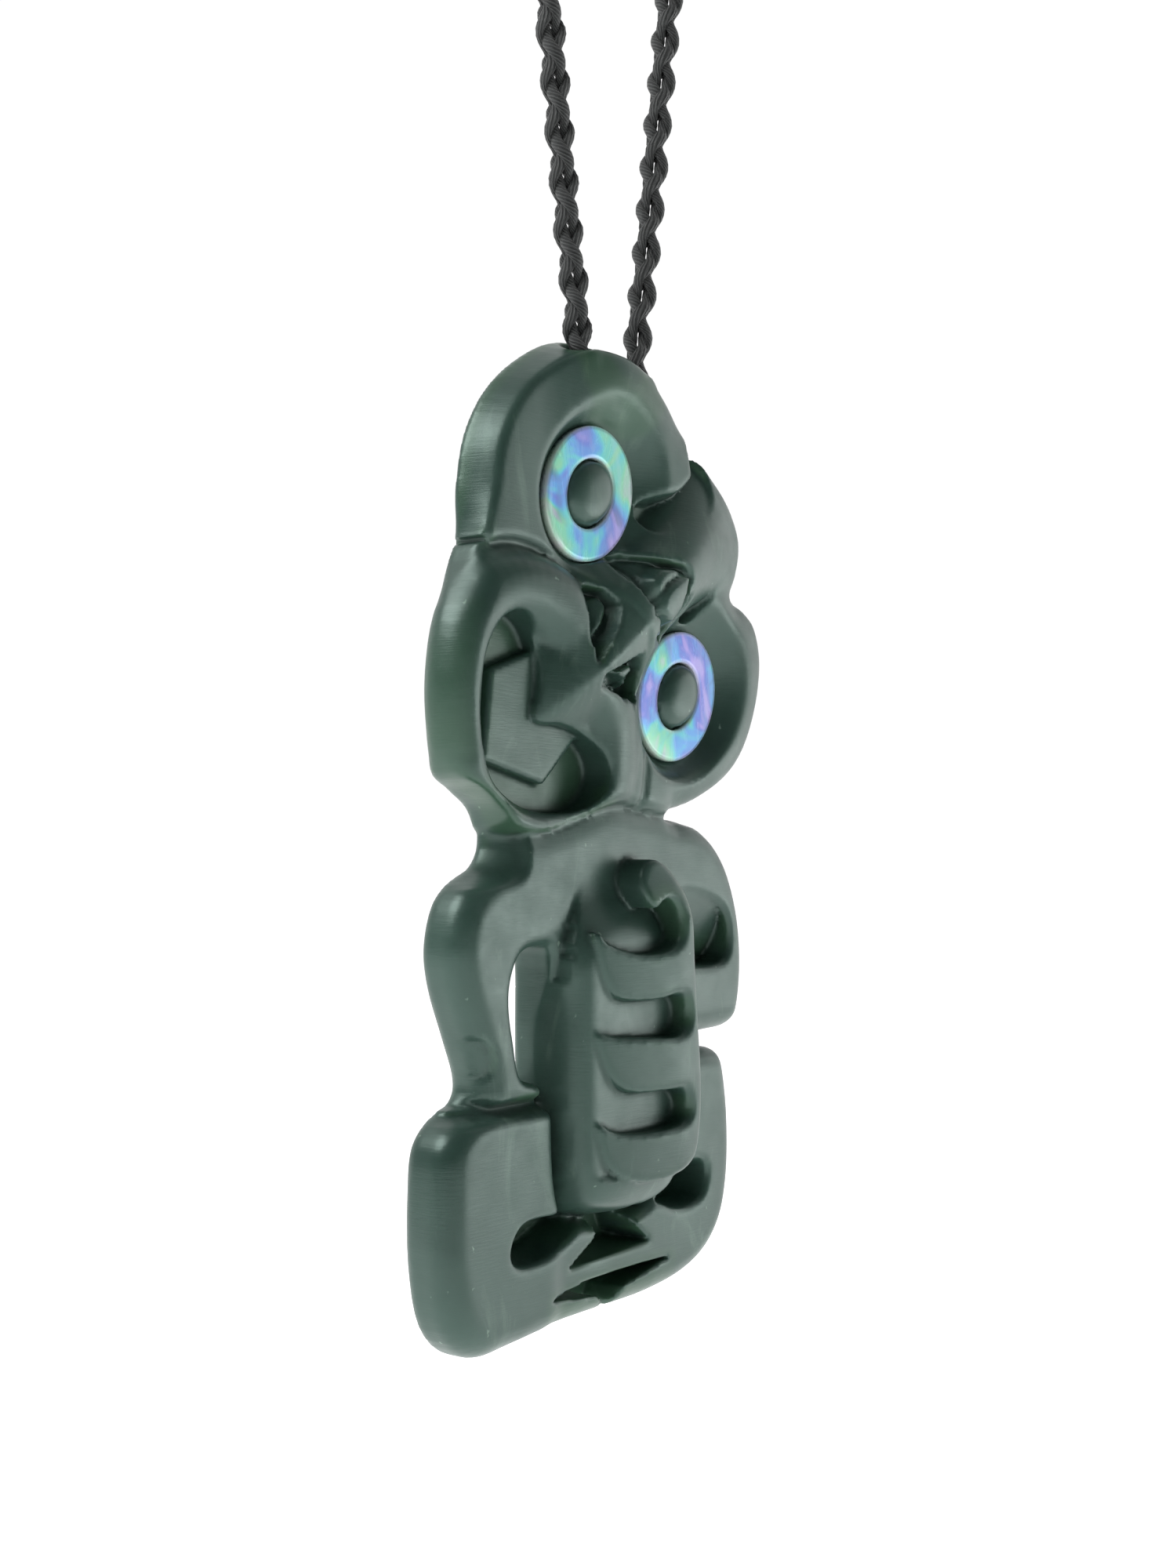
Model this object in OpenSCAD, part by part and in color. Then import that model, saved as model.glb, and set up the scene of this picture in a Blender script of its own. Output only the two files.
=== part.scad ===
// Hei tiki pendant: a carved nephrite figure with two inlaid paua eye rings, hung on a plaited cord.
// Millimetres. +Z is up and the figure faces -Y. The origin is where the loop rests, under its join.

/* [Stone] */
// Height of the carved stone
stone_h = 98.6; // [80:0.1:120]
// Depth of the stone behind its middle plane
back_t = 2.4; // [2.2:0.1:3.5]
// Height of the face's rim above the middle plane
face_t = 1.9; // [1.6:0.1:2.4]
// How much the brows rise above the rim
brow_rise = 2; // [1.2:0.1:2.6]
// Height of the limbs above the middle plane
limb_t = 3.3; // [2.8:0.1:4]
// Height of the belly above the middle plane
belly_t = 7.4; // [6:0.1:8]
// Height of the palm above the middle plane
palm_t = 9; // [8.2:0.1:9.6]
// Radius that rounds the outer edge
edge_r = 1.6; // [0.8:0.1:2.2]
// Lean of the head from level, in degrees
head_tilt = 39; // [36:1:42]

/* [Eyes] */
// Length of an eye ring along the face
eye_l = 15.8; // [14:0.1:16.2]
// Width of an eye ring across the face
eye_w = 12.9; // [11.5:0.1:13.2]
// Length of the pupil
pupil_l = 8.2; // [6.5:0.1:8.6]
// Width of the pupil
pupil_w = 6.3; // [5:0.1:6.6]
// Thickness of an eye ring
ring_t = 0.9; // [0.6:0.1:1.2]
// Clearance round an eye ring
ring_gap = 0.12; // [0.08:0.01:0.2]

/* [Cord] */
// Diameter of the plaited cord
cord_d = 3.2; // [2.8:0.1:3.4]
// Clearance of the cord in its bores
cord_gap = 0.15; // [0.1:0.01:0.25]
// Length of the join
join_l = 12; // [10:1:14]
// Diameter of the join
join_d = 5; // [4.6:0.1:6]

/* [Hidden] */

// The tables are drawn for a stone of this height and grow with it.
drawn_h = 98.6;
k = stone_h / drawn_h;
// Middle of the cord hole in the stone's own axes, whose zero is the neck line in the middle plane
hole_at = [2.65, -0.6, 49.5];
// Radius of the curved hole, its place under the origin and where a cutter enters it
hole_r = 5.05;
hole_z = -298.5;
hole_entry = [5.65, -292.5];
// Half the space between the two strands' ends inside the hole
end_x = 0.1;
stone_at = [0, 0, hole_z] - k * hole_at;
// Middle of the face between the eyes, as x and z in the stone
face_at = [5.5, 25.1];
// Distance of each eye from the face's line
eye_v = 12.55;
// The carved front is drawn on a grid of this pitch over these spans.
grid = 1.5;
grid_x = [-28.5, 31.5];
grid_z = [-49.5, 52.5];
// Levels above the middle plane: the ring's seat, the mouth's floor and the tongue
seat_t = 1;
pit_t = 0.2;
tongue_t = 1.6;
dome_t = 3.6;
// Width of the face's rim, half axes of an eye socket and slope of its wall at the sides and the brow
rim_w = 5;
socket_l = 8.3;
socket_w = 6.9;
wall_slope = 9;
brow_slope = 6;
// Fullness of the sections of the nose, the roof shaped lip and the mouth's lip; a higher one is boxier
nose_full = 2.3;
roof_full = 1.25;
lip_full = 2.2;
// Width over which two carved forms blend, and a level below everything for places off a ridge
blend = 0.6;
no_ridge = -5;
// Belly: its middle, half width, fullness, foot, rounding at the foot, where it starts and how far it rises
belly_x = 0.2;
belly_w = 9.8;
belly_full = 2.3;
belly_foot = -37.9;
belly_round = 7;
belly_start = -3;
belly_rise = 10;
// Levels of the belly's side and of its upper end
belly_side_t = 2.2;
belly_start_t = 3;
// Where the face takes over from the body, and over what height
neck_z = 1;
neck_blend = 4;
// Hand: its side limits, the palm's inner edge, its foot, the thumb's start and the drops to them
hand_x = [-9, 10];
palm_x = 2.8;
hand_z = [-36, -8, -1];
finger_drop = 2.8;
thumb_drop = 1.6;
// Stone left behind the hollows of the legs
web_t = 1;
// Bevel round the back, and how far a cutter runs past the surface
bevel = 0.6;
past = 12;
// Half the wall between the join's two bores
join_wall = 1;
// Sides of the cord and of small cuts, points round an eye, and curve steps between two rows of a table
cord_sides = 8;
cut_sides = 8;
eye_points = 48;
steps = 2;

// Outline of the head in the face's own axes: u runs up to the forehead, v to the upper eye
//        u      v
HEAD_EDGE = [
    [-17.4,  17.4], [-13.2,  21.1], [ -9.0,  24.5], [ -3.8,  26.4], [  2.0,  26.6], [  8.3,  25.4],
    [ 12.9,  22.5], [ 16.0,  18.5], [ 17.4,  14.0], [ 17.8,  10.6], [ 18.4,   8.6], [ 19.2,   6.4],
    [ 20.0,   3.2], [ 20.7,  -1.0], [ 19.9,  -5.4], [ 17.0,  -7.9], [ 15.0,  -9.6], [ 16.4, -12.0],
    [ 17.2, -15.0], [ 15.6, -18.9], [ 11.6, -22.3], [  6.3, -24.5], [  1.0, -24.6], [ -5.2, -22.8],
    [ -9.6, -20.7]];

// Outline of the body: right shoulder, arm and leg, the feet, then the left side and the chin
//        x      z
BODY_EDGE = [
    [ 12.0,   2.3], [ 14.8,   2.1], [ 18.8,   0.7], [ 22.4,  -2.6], [ 24.8,  -7.6],
    [ 25.6, -13.0], [ 25.0, -18.0], [ 23.4, -20.3], [ 19.0, -20.7], [ 14.0, -20.9], [ 11.4, -21.6],
    [ 14.0, -22.3], [ 18.6, -22.4], [ 21.2, -23.2], [ 22.4, -27.0], [ 22.9, -32.0], [ 22.6, -37.0],
    [ 21.2, -41.2], [ 18.2, -44.3], [ 13.6, -46.1], [  7.0, -46.9], [  0.0, -47.0], [ -8.0, -47.1],
    [-15.0, -47.6], [-20.4, -47.8], [-24.0, -44.8], [-25.5, -38.8], [-25.6, -32.0], [-25.0, -28.0],
    [-22.6, -25.6], [-19.8, -24.3], [-19.4, -22.4], [-21.0, -18.5], [-22.9, -14.0], [-23.5, -10.0],
    [-22.2,  -5.8], [-19.2,  -3.3], [-16.6,  -1.9], [-15.8,   0.3], [-16.9,   2.8], [-19.8,   4.6],
    [-22.9,   6.2], [-23.9,  10.2], [-24.1,  15.5], [-22.8,  21.5]];

// Ridge down the forehead and the nose, in the face's axes
//        u     v    r    h
RIDGE = [
    [21.0, 0.0, 5.5, 2.4], [18.0, 0.0, 5.6, 4.4], [14.0, 0.0, 5.6, 5.6], [9.0, 0.0, 5.4, 6.2],
    [ 4.0, 0.0, 5.2, 6.8], [ 0.0, 0.0, 5.4, 7.0], [-4.0, 0.0, 6.2, 6.8]];

// Roof shaped upper lip, from the nose down to its point over the mouth
//         u      v    r    h
ROOF = [
    [-2.0, 0.0, 8.0, 6.8], [-7.0, 0.0, 9.5, 6.6], [-12.0, 0.0, 9.0, 6.0], [-17.0, 0.0, 6.0, 4.6],
    [-21.8, 0.0, 2.0, 2.4]];

// Lip round the mouth, one side from the nose to the chin
//         u     v    r    h
LIP = [
    [-12.2,  0.0, 5.0, 4.8], [-11.8,  4.0, 4.8, 4.8], [-12.6,  7.6, 4.6, 4.6], [-16.0, 11.6, 4.0, 4.3],
    [-20.5, 13.2, 3.7, 4.0], [-25.0, 12.4, 3.7, 3.9], [-29.0,  9.4, 3.6, 3.8], [-32.0,  5.2, 3.4, 3.7],
    [-33.4,  0.0, 3.2, 3.6]];

// Opening of the mouth and the tongue in it, in the face's axes
//          u     v
MOUTH = [
    [-21.8,  0.2], [-19.2,  2.6], [-17.2,  5.6], [-17.0,  8.4], [-18.4,  10.6], [-21.4,  11.4],
    [-24.8, 10.2], [-27.8,  7.4], [-30.4,  3.8], [-31.0,  0.0], [-29.6,  -3.8], [-26.8,  -7.2],
    [-23.6, -9.8], [-20.4, -11.2], [-17.4, -10.6], [-16.2, -8.2], [-17.0, -5.2], [-19.2, -2.4]];
TONGUE = [[-14.0, -5.6], [-14.0, 5.6], [-24.0, 6.9], [-29.2, 0.3], [-24.2, -6.4]];

// The hand on the belly: thumb, palm and three fingers
//        x      z
HAND = [
    [ 0.1,  -3.8], [ 1.3,  -2.3], [ 2.8,  -2.0], [ 4.6,  -2.9], [ 6.5,  -5.0], [ 7.3,  -8.0],
    [ 7.6, -12.0], [ 8.2, -18.0], [ 8.8, -23.0], [ 8.8, -28.0], [ 8.0, -31.5], [ 6.6, -33.0],
    [ 3.6, -33.7], [-0.4, -33.9], [-3.7, -33.0], [-5.6, -31.5], [-6.6, -29.0], [-6.8, -27.4],
    [-4.2, -28.6], [-0.3, -29.0], [ 4.0, -28.8], [ 5.8, -28.1], [ 6.2, -27.0], [ 5.6, -25.6],
    [ 4.0, -25.1], [-1.3, -25.0], [-3.8, -24.3], [-5.5, -22.5], [-6.8, -19.8], [-6.9, -18.7],
    [-4.2, -19.3], [-0.3, -19.6], [ 3.9, -19.8], [ 5.7, -19.0], [ 6.1, -17.5], [ 5.5, -16.0],
    [ 4.0, -15.6], [ 1.6, -15.9], [-1.9, -15.9], [-4.5, -15.3], [-6.1, -13.0], [-6.8, -10.4],
    [-6.7,  -8.8], [-5.2, -10.2], [-1.9, -11.2], [ 0.7, -11.4], [ 3.0, -11.1], [ 4.6, -10.2],
    [ 5.1,  -8.6], [ 4.8,  -7.0], [ 3.6,  -6.0], [ 2.4,  -6.3], [ 1.2,  -6.9], [ 0.2,  -5.6]];

// Opening right through inside the left arm, and hollows in each leg, between the legs and the feet
//        x      z
LEFT_ARM = [
    [-9.8, -11.2], [-12.0, -10.3], [-14.6, -11.0], [-16.0, -13.4], [-16.2, -16.0], [-15.6, -19.0],
    [-14.6, -22.4], [-12.0, -23.4], [-9.8, -24.4], [-9.6, -18.0]];
LEFT_LEG = [
    [-16.6, -38.6], [-16.0, -39.8], [-14.0, -40.2], [-10.5, -39.9], [-7.0, -38.7], [-4.3, -37.2],
    [-6.0, -36.6], [-10.0, -36.1], [-14.0, -36.1], [-15.8, -37.0]];
RIGHT_LEG = [
    [ 8.0, -37.5], [10.0, -36.0], [12.5, -34.6], [15.0, -34.0], [17.0, -34.6], [17.5, -36.0],
    [16.5, -38.0], [14.0, -38.8], [11.0, -38.6], [ 9.0, -37.9]];
BETWEEN_LEGS = [
    [-7.6, -41.7], [-3.6, -39.6], [-1.0, -37.2], [1.5, -36.6], [3.4, -37.8], [4.2, -39.4],
    [6.6, -41.2], [0.0, -41.5]];
BETWEEN_FEET = [
    [-10.6, -44.2], [-5.0, -43.4], [0.0, -43.2], [5.0, -43.2], [10.2, -43.4], [5.0, -44.4],
    [1.6, -45.0], [0.9, -46.4], [0.9, -48.5], [-0.7, -48.5], [-0.8, -46.2], [-2.6, -45.2], [-6.0, -44.8]];

// Route of one strand from the join down to the head, where it goes on along the hole
//        x       z
STRAND = [
    [  2.0,    2.5], [  7.0,    2.4], [ 13.0,    0.6], [ 20.0,   -2.4], [ 28.0,   -7.8], [ 35.0,  -15.0],
    [ 40.0,  -23.4], [ 43.0,  -32.4], [ 44.0,  -41.6], [ 43.4,  -50.0], [ 38.9,  -80.0], [ 34.3, -110.0],
    [ 29.7, -140.0], [ 25.1, -170.0], [ 20.4, -200.0], [ 15.6, -230.0], [ 10.8, -260.0], [  6.9, -286.0]];

// Small cuts in the face on one side, made between spheres
//        u     v    h    r
NOSTRIL = [[-1.0, 5.4, 6.2, 0.5], [4.8, 1.4, 7.0, 0.4], [-3.0, 1.4, 7.1, 0.4]];
CHEEK_LEAF = [[-8.6, 6.2, 4.6, 0.6], [-6.6, 4.6, 5.2, 0.5], [-12.4, 1.4, 5.6, 0.5]];

// Cuts in the body: inside the bent right arm, the left wrist's dimple and its crease
//        x      z     h    r
ARM_HOLLOW = [
    [11.8, -10.4, 2.7, 2.0], [17.2, -10.4, 2.7, 2.0], [16.4, -8.6, 3.4, 2.0], [12.4, -8.4, 3.4, 2.0]];
WRIST_DIMPLE = [[-20.2, -18.8, 3.8, 1.0], [-19.9, -21.4, 3.8, 1.0]];
WRIST_CREASE = [[-25.0, -25.5, 3.5, 0.6], [-10.0, -25.3, 3.5, 0.6]];

// Steps of a pupil's dome: share of its size, and drop from its top
DOME = [[1, 1.2], [0.72, 0.4], [0.34, 0]];

// Plain mathematics
function clamp01(x) = min(1, max(0, x));
function smooth_max(a, b, w) =
    let (f = clamp01(0.5 + 0.5 * (a - b) / w)) b * (1 - f) + a * f + w * f * (1 - f);
function smooth_min(a, b, w) = -smooth_max(-a, -b, w);
function bulge(q, power) = pow(1 - pow(clamp01(q), power), 1 / power);

// A curve through the rows of a table, closed or open, with n steps a row
function between(a, b, c, d, t) =
    0.5 * (2 * b + (c - a) * t + (2 * a - 5 * b + 4 * c - d) * t * t + (3 * b - a - 3 * c + d) * t * t * t);
function closed_curve(rows, n = steps) =
    let (m = len(rows))
    [for (i = [0:m - 1], j = [0:n - 1])
        between(rows[(i + m - 1) % m], rows[i], rows[(i + 1) % m], rows[(i + 2) % m], j / n)];
function open_curve(rows, n = steps) =
    let (m = len(rows))
    [for (i = [0:m - 2], j = [0:n - 1])
        between(rows[max(i - 1, 0)], rows[i], rows[i + 1], rows[min(i + 2, m - 1)], j / n),
     rows[m - 1]];

// The face's axes in the stone and back
function from_face(uv) =
    face_at + uv[0] * [cos(head_tilt), sin(head_tilt)] + uv[1] * [-sin(head_tilt), cos(head_tilt)];
function to_face(p) =
    let (q = p - face_at)
    [q * [cos(head_tilt), sin(head_tilt)], q * [-sin(head_tilt), cos(head_tilt)]];
function on_face(rows) = [for (r = rows) from_face(r)];
function mirrored(rows) = [for (r = rows) [r[0], -r[1], r[2], r[3]]];
function ellipse(l, w) =
    [for (i = [0:eye_points - 1]) let (a = i * 360 / eye_points) [l / 2 * cos(a), w / 2 * sin(a)]];
function eye_at(side) = [0.2, side * eye_v];
function eye_curve(side, l, w) = on_face([for (p = ellipse(l, w)) p + eye_at(side)]);

// Height of a ridge whose rows hold its place, its half width and its height
function segment_height(p, a, b, power) =
    let (ab = [b[0] - a[0], b[1] - a[1]],
         ap = [p[0] - a[0], p[1] - a[1]],
         t = clamp01(ap * ab / (ab * ab)),
         q = norm(ap - ab * t) / (a[2] + (b[2] - a[2]) * t))
    q < 1 ? (a[3] + (b[3] - a[3]) * t) * bulge(q, power) : no_ridge;
function ridge_height(p, rows, power) =
    max([for (i = [0:len(rows) - 2]) segment_height(p, rows[i], rows[i + 1], power)]);

edge = closed_curve(concat(on_face(HEAD_EDGE), BODY_EDGE));
ridge_rows = open_curve(RIDGE);
roof_rows = open_curve(ROOF);
lip_rows = concat(open_curve(LIP), open_curve(mirrored(LIP)));

// Distance to the outline
function segment_distance(p, a, b) =
    let (ab = b - a, t = clamp01((p - a) * ab / (ab * ab))) norm(p - a - ab * t);
function edge_distance(p) =
    min([for (i = [0:len(edge) - 1]) segment_distance(p, edge[i], edge[(i + 1) % len(edge)])]);

// Levels of the front above the middle plane
function socket_level(uv, side) =
    let (e = uv - eye_at(side), q = norm([e[0] / socket_l, e[1] / socket_w]),
         slope = wall_slope + (brow_slope - wall_slope) * clamp01(e[0] / socket_l))
    seat_t + 0.4 + max(q - 1, 0) * slope;
function face_level(uv, inset) =
    let (rim = face_t + brow_rise * bulge(1 - inset / rim_w, 2),
         brow = smooth_min(smooth_min(rim, socket_level(uv, 1), blend), socket_level(uv, -1), blend),
         nose = smooth_max(brow, ridge_height(uv, ridge_rows, nose_full), blend),
         upper_lip = smooth_max(nose, ridge_height(uv, roof_rows, roof_full), blend))
    smooth_max(upper_lip, ridge_height(uv, lip_rows, lip_full), blend);
function belly_level(p) =
    let (rise = clamp01((belly_start - p[1]) / belly_rise),
         top = belly_start_t + (belly_t - belly_start_t) * rise * rise * (3 - 2 * rise),
         across = bulge(abs(p[0] - belly_x) / belly_w, belly_full),
         low = bulge(1 - clamp01((p[1] - belly_foot) / belly_round), 2))
    belly_side_t + (top - belly_side_t) * across * low;
function body_level(p) =
    p[1] > belly_foot && p[1] < 0 ? smooth_max(limb_t, belly_level(p), blend) : limb_t;
function front_level(p) =
    let (inset = edge_distance(p),
         head = clamp01((p[1] - neck_z) / neck_blend),
         level = head <= 0 ? body_level(p)
               : head >= 1 ? face_level(to_face(p), inset)
               : body_level(p) * (1 - head) + face_level(to_face(p), inset) * head)
    max(level - edge_r * (1 - bulge(1 - inset / edge_r, 2)), -1);

// The carved front as one closed block over the grid, its back flat
module carved_block() {
    columns = floor((grid_x[1] - grid_x[0]) / grid);
    rows = floor((grid_z[1] - grid_z[0]) / grid);
    wide = columns + 1;
    count = wide * (rows + 1);
    spots = [for (j = [0:rows], i = [0:columns]) [grid_x[0] + i * grid, grid_z[0] + j * grid]];
    front = [for (p = spots) [p[0], -front_level(p), p[1]]];
    back = [for (p = spots) [p[0], back_t + 1, p[1]]];
    rim = concat(
        [for (i = [0:columns - 1]) i],
        [for (j = [0:rows - 1]) columns + j * wide],
        [for (i = [0:columns - 1]) count - 1 - i],
        [for (j = [0:rows - 1]) (rows - j) * wide]);
    polyhedron(
        points = concat(front, back),
        faces = concat(
            [for (j = [0:rows - 1], i = [0:columns - 1]) let (a = i + j * wide) [a, a + wide, a + wide + 1]],
            [for (j = [0:rows - 1], i = [0:columns - 1]) let (a = i + j * wide) [a, a + wide + 1, a + 1]],
            [for (i = [0:len(rim) - 1]) let (a = rim[i], b = rim[(i + 1) % len(rim)]) [a, b, b + count]],
            [for (i = [0:len(rim) - 1]) let (a = rim[i], b = rim[(i + 1) % len(rim)]) [a, b + count, a + count]],
            [[for (i = [0:len(rim) - 1]) rim[i] + count]]));
}

// A flat outline in x and z made solid from one level above the middle plane to another
module standing(low, high) {
    translate([0, -low, 0]) rotate([90, 0, 0]) linear_extrude(high - low) children();
}

// The outline through the whole depth, bevelled round the back
module outline_block() {
    standing(bevel - back_t, past) polygon(edge);
    standing(-back_t, bevel - back_t + 0.01) offset(delta = -bevel / 2) polygon(edge);
}

// A small cut between spheres, whose rows hold place, level and radius
module cut(rows) {
    hull()
        for (r = rows) translate([r[0], -r[2], r[1]]) sphere(r[3], $fn = cut_sides);
}

module face_cut(rows, side) {
    cut([for (r = rows) let (p = from_face([r[0], side * r[1]])) [p[0], p[1], r[2], r[3]]]);
}

// A pupil stands up from the seat of its ring with a domed top.
module pupil(side) {
    hull()
        for (d = DOME)
            standing(d[0] == 1 ? seat_t - 0.5 : dome_t - d[1] - 0.1, dome_t - d[1])
                polygon(eye_curve(side, pupil_l * d[0], pupil_w * d[0]));
}

// Cross section of the hand from its finger tips to the palm, lowered by a drop
function hand_section(drop) = [
    [hand_x[0], 0], [hand_x[0], drop + finger_drop - palm_t], [palm_x, drop - palm_t],
    [hand_x[1], drop - palm_t], [hand_x[1], 0]];

// The hand lies on the belly and falls toward the finger tips and the thumb.
module hand() {
    intersection() {
        standing(limb_t - 1, past) polygon(closed_curve(HAND, 2));
        hull() {
            translate([0, 0, hand_z[0]]) linear_extrude(hand_z[1] - hand_z[0]) polygon(hand_section(0));
            translate([0, 0, hand_z[2]]) linear_extrude(0.1) polygon(hand_section(thumb_drop));
        }
    }
}

// A tube swept along a route in the x z plane, with a ring of points at each place
module tube(route, r) {
    last = len(route) - 1;
    function heading(i) =
        let (d = route[min(i + 1, last)] - route[max(i - 1, 0)]) d / norm(d);
    rings = [for (i = [0:last], j = [0:cord_sides - 1])
        let (h = heading(i), a = (j + 0.5) * 360 / cord_sides)
        [route[i][0] - r * cos(a) * h[1], r * sin(a), route[i][1] + r * cos(a) * h[0]]];
    polyhedron(
        points = rings,
        faces = concat(
            [[for (j = [0:cord_sides - 1]) cord_sides - 1 - j]],
            [[for (j = [0:cord_sides - 1]) last * cord_sides + j]],
            [for (i = [0:last - 1], j = [0:cord_sides - 1])
                let (a = i * cord_sides + j, b = i * cord_sides + (j + 1) % cord_sides)
                [a, b, b + cord_sides, a + cord_sides]]));
}

// Half of the curved hole, from its mouth down to the level stretch at the bottom
half_hole = concat([hole_entry],
    [for (a = [11.25:22.5:78.75]) [hole_r * cos(a), hole_z - hole_r * sin(a)]]);

// The cord hole is a half ring whose two mouths open in the top of the head.
module cord_hole() {
    other_half = [for (i = [len(half_hole) - 1:-1:0]) [-half_hole[i][0], half_hole[i][1]]];
    tube(concat(half_hole, other_half), cord_d / 2 + cord_gap);
}

module carved_stone() {
    color("darkslategray") difference() {
        translate(stone_at) scale(k) {
            difference() {
                intersection() {
                    carved_block();
                    outline_block();
                }
                standing(pit_t, past) polygon(closed_curve(on_face(MOUTH)));
                for (side = [-1, 1]) {
                    standing(seat_t, past)
                        polygon(eye_curve(side, eye_l + 2 * ring_gap, eye_w + 2 * ring_gap));
                    face_cut(NOSTRIL, side);
                    face_cut(CHEEK_LEAF, side);
                }
                for (rows = [ARM_HOLLOW, WRIST_DIMPLE, WRIST_CREASE]) cut(rows);
            }
            for (side = [-1, 1]) pupil(side);
            standing(pit_t - 0.5, tongue_t) polygon(on_face(TONGUE));
            hand();
        }
        translate(stone_at) scale(k) {
            standing(-past, past) polygon(closed_curve(LEFT_ARM));
            for (rows = [LEFT_LEG, RIGHT_LEG]) standing(web_t - back_t, past) polygon(closed_curve(rows));
            for (rows = [BETWEEN_LEGS, BETWEEN_FEET]) standing(web_t - back_t, past) polygon(rows);
        }
        cord_hole();
    }
}

// An oval paua ring lies on its seat round the pupil.
module eye_ring(side) {
    translate(stone_at) scale(k)
        standing(seat_t + ring_gap, seat_t + ring_gap + ring_t) difference() {
            polygon(eye_curve(side, eye_l, eye_w));
            polygon(eye_curve(side, pupil_l + 2 * ring_gap, pupil_w + 2 * ring_gap));
        }
}

module upper_eye_ring() {
    color("lightskyblue") eye_ring(1);
}

module lower_eye_ring() {
    color("paleturquoise") eye_ring(-1);
}

// A strand runs from the join to the head and down its half of the hole.
module strand() {
    tube(concat(open_curve(STRAND), half_hole, [[end_x, half_hole[len(half_hole) - 1][1]]]), cord_d / 2);
}

module cord_right() {
    color("black") strand();
}

module cord_left() {
    color("black") mirror([1, 0, 0]) strand();
}

// The join holds both ends of the cord in blind bores.
module cord_join() {
    color("dimgray") translate([0, 0, join_d / 2]) rotate([0, 90, 0]) difference() {
        cylinder(h = join_l, d = join_d, center = true, $fn = 48);
        for (side = [-1, 1])
            translate([0, 0, side * (join_l / 4 + join_wall)])
                cylinder(h = join_l / 2, d = cord_d + 2 * cord_gap, center = true, $fn = 32);
    }
}

carved_stone();
upper_eye_ring();
lower_eye_ring();
cord_left();
cord_right();
cord_join();
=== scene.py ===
"""Looks of a hei tiki pendant: a carved nephrite figure with paua eye rings on a plaited waxed cord.

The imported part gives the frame. Tables and sizes here are millimetres and repeat those of the part's
solids; every mesh is written in metres. +Z is up, the figure faces -Y, and the origin is where the
loop rests, under its join.
"""

import logging
import math
from dataclasses import dataclass, field
from enum import Enum
from typing import Any, Sequence

import bpy
import numpy as np
from mathutils import Matrix, Vector

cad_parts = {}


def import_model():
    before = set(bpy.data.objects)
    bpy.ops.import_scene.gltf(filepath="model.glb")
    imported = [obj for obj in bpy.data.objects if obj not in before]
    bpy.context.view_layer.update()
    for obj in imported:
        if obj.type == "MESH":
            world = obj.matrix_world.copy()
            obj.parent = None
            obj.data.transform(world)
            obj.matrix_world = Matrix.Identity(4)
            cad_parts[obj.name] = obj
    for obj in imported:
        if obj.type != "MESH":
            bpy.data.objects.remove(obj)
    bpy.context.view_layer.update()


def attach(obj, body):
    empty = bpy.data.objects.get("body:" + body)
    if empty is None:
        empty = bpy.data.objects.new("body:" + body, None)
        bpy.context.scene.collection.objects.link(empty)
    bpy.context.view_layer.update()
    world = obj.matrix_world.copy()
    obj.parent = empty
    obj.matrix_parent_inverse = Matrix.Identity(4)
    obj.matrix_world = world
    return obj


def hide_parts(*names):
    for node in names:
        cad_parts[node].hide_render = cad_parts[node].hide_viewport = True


Array = np.ndarray
Rows = Sequence[Sequence[float]]

MM = 0.001
TINY = 1e-12
# Parts that a long list of points is worked in, to spare memory
CHUNKS = 24
# Fall of a ridge's level outside its width, in millimetres for each half width
RIDGE_FALL = 5.0
# The stone's own zero, on the neck line in its middle plane, as a place in the part's frame
STONE_AT = np.array([-2.65, 0.6, -348.0])

log = logging.getLogger("pendant")


# ---- plain mathematics -------------------------------------------------------------------------


def smooth_max(a: Array, b: Array, width: float) -> Array:
    """Larger of two fields, blended where they differ by less than a width.

    Args:
        a: First field.
        b: Second field.
        width: Blend width in millimetres.

    Returns:
        b(1 - f) + a f + width f (1 - f), with f = 1/2 + (a - b) / (2 width) held to 0..1.
    """
    f = np.clip(0.5 + 0.5 * (a - b) / width, 0, 1)
    return b * (1 - f) + a * f + width * f * (1 - f)


def smooth_min(a: Array, b: Array, width: float) -> Array:
    """Smaller of two fields, blended as in smooth_max."""
    return -smooth_max(-a, -b, width)


def round_max(a: Array, b: Array, radius: Any) -> Array:
    """Common part of two solids, given as distances, with their shared edge rounded.

    Args:
        a: Distance to the first solid, negative inside.
        b: Distance to the second solid, negative inside.
        radius: Radius of the rounded edge, a number or a field.

    Returns:
        min(max(a, b), -r) + length of (max(a + r, 0), max(b + r, 0)).
    """
    inner = np.minimum(np.maximum(a, b), -radius)
    return inner + np.hypot(np.maximum(a + radius, 0), np.maximum(b + radius, 0))


def ramp(x: Array, start: float, end: float) -> Array:
    """Smooth step from 0 at start to 1 at end, t t (3 - 2 t)."""
    t = np.clip((x - start) / (end - start), 0, 1)
    return t * t * (3 - 2 * t)


def bulge(q: Array, power: float) -> Array:
    """Section (1 - q^power)^(1 / power), 1 on the axis and 0 at the side."""
    return (1 - np.clip(q, 0, 1) ** power) ** (1 / power)


def groove(away: Array, half: float) -> Array:
    """Section exp(-(distance / half width)^2) of a soft groove, 1 on its line."""
    return np.exp(-((away / half) ** 2))


def inside(distance: Array, wall: float) -> Array:
    """Share from 0 on an outline to 1 at a sloping wall's width inside it."""
    return np.clip(-distance / wall, 0, 1)


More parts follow.
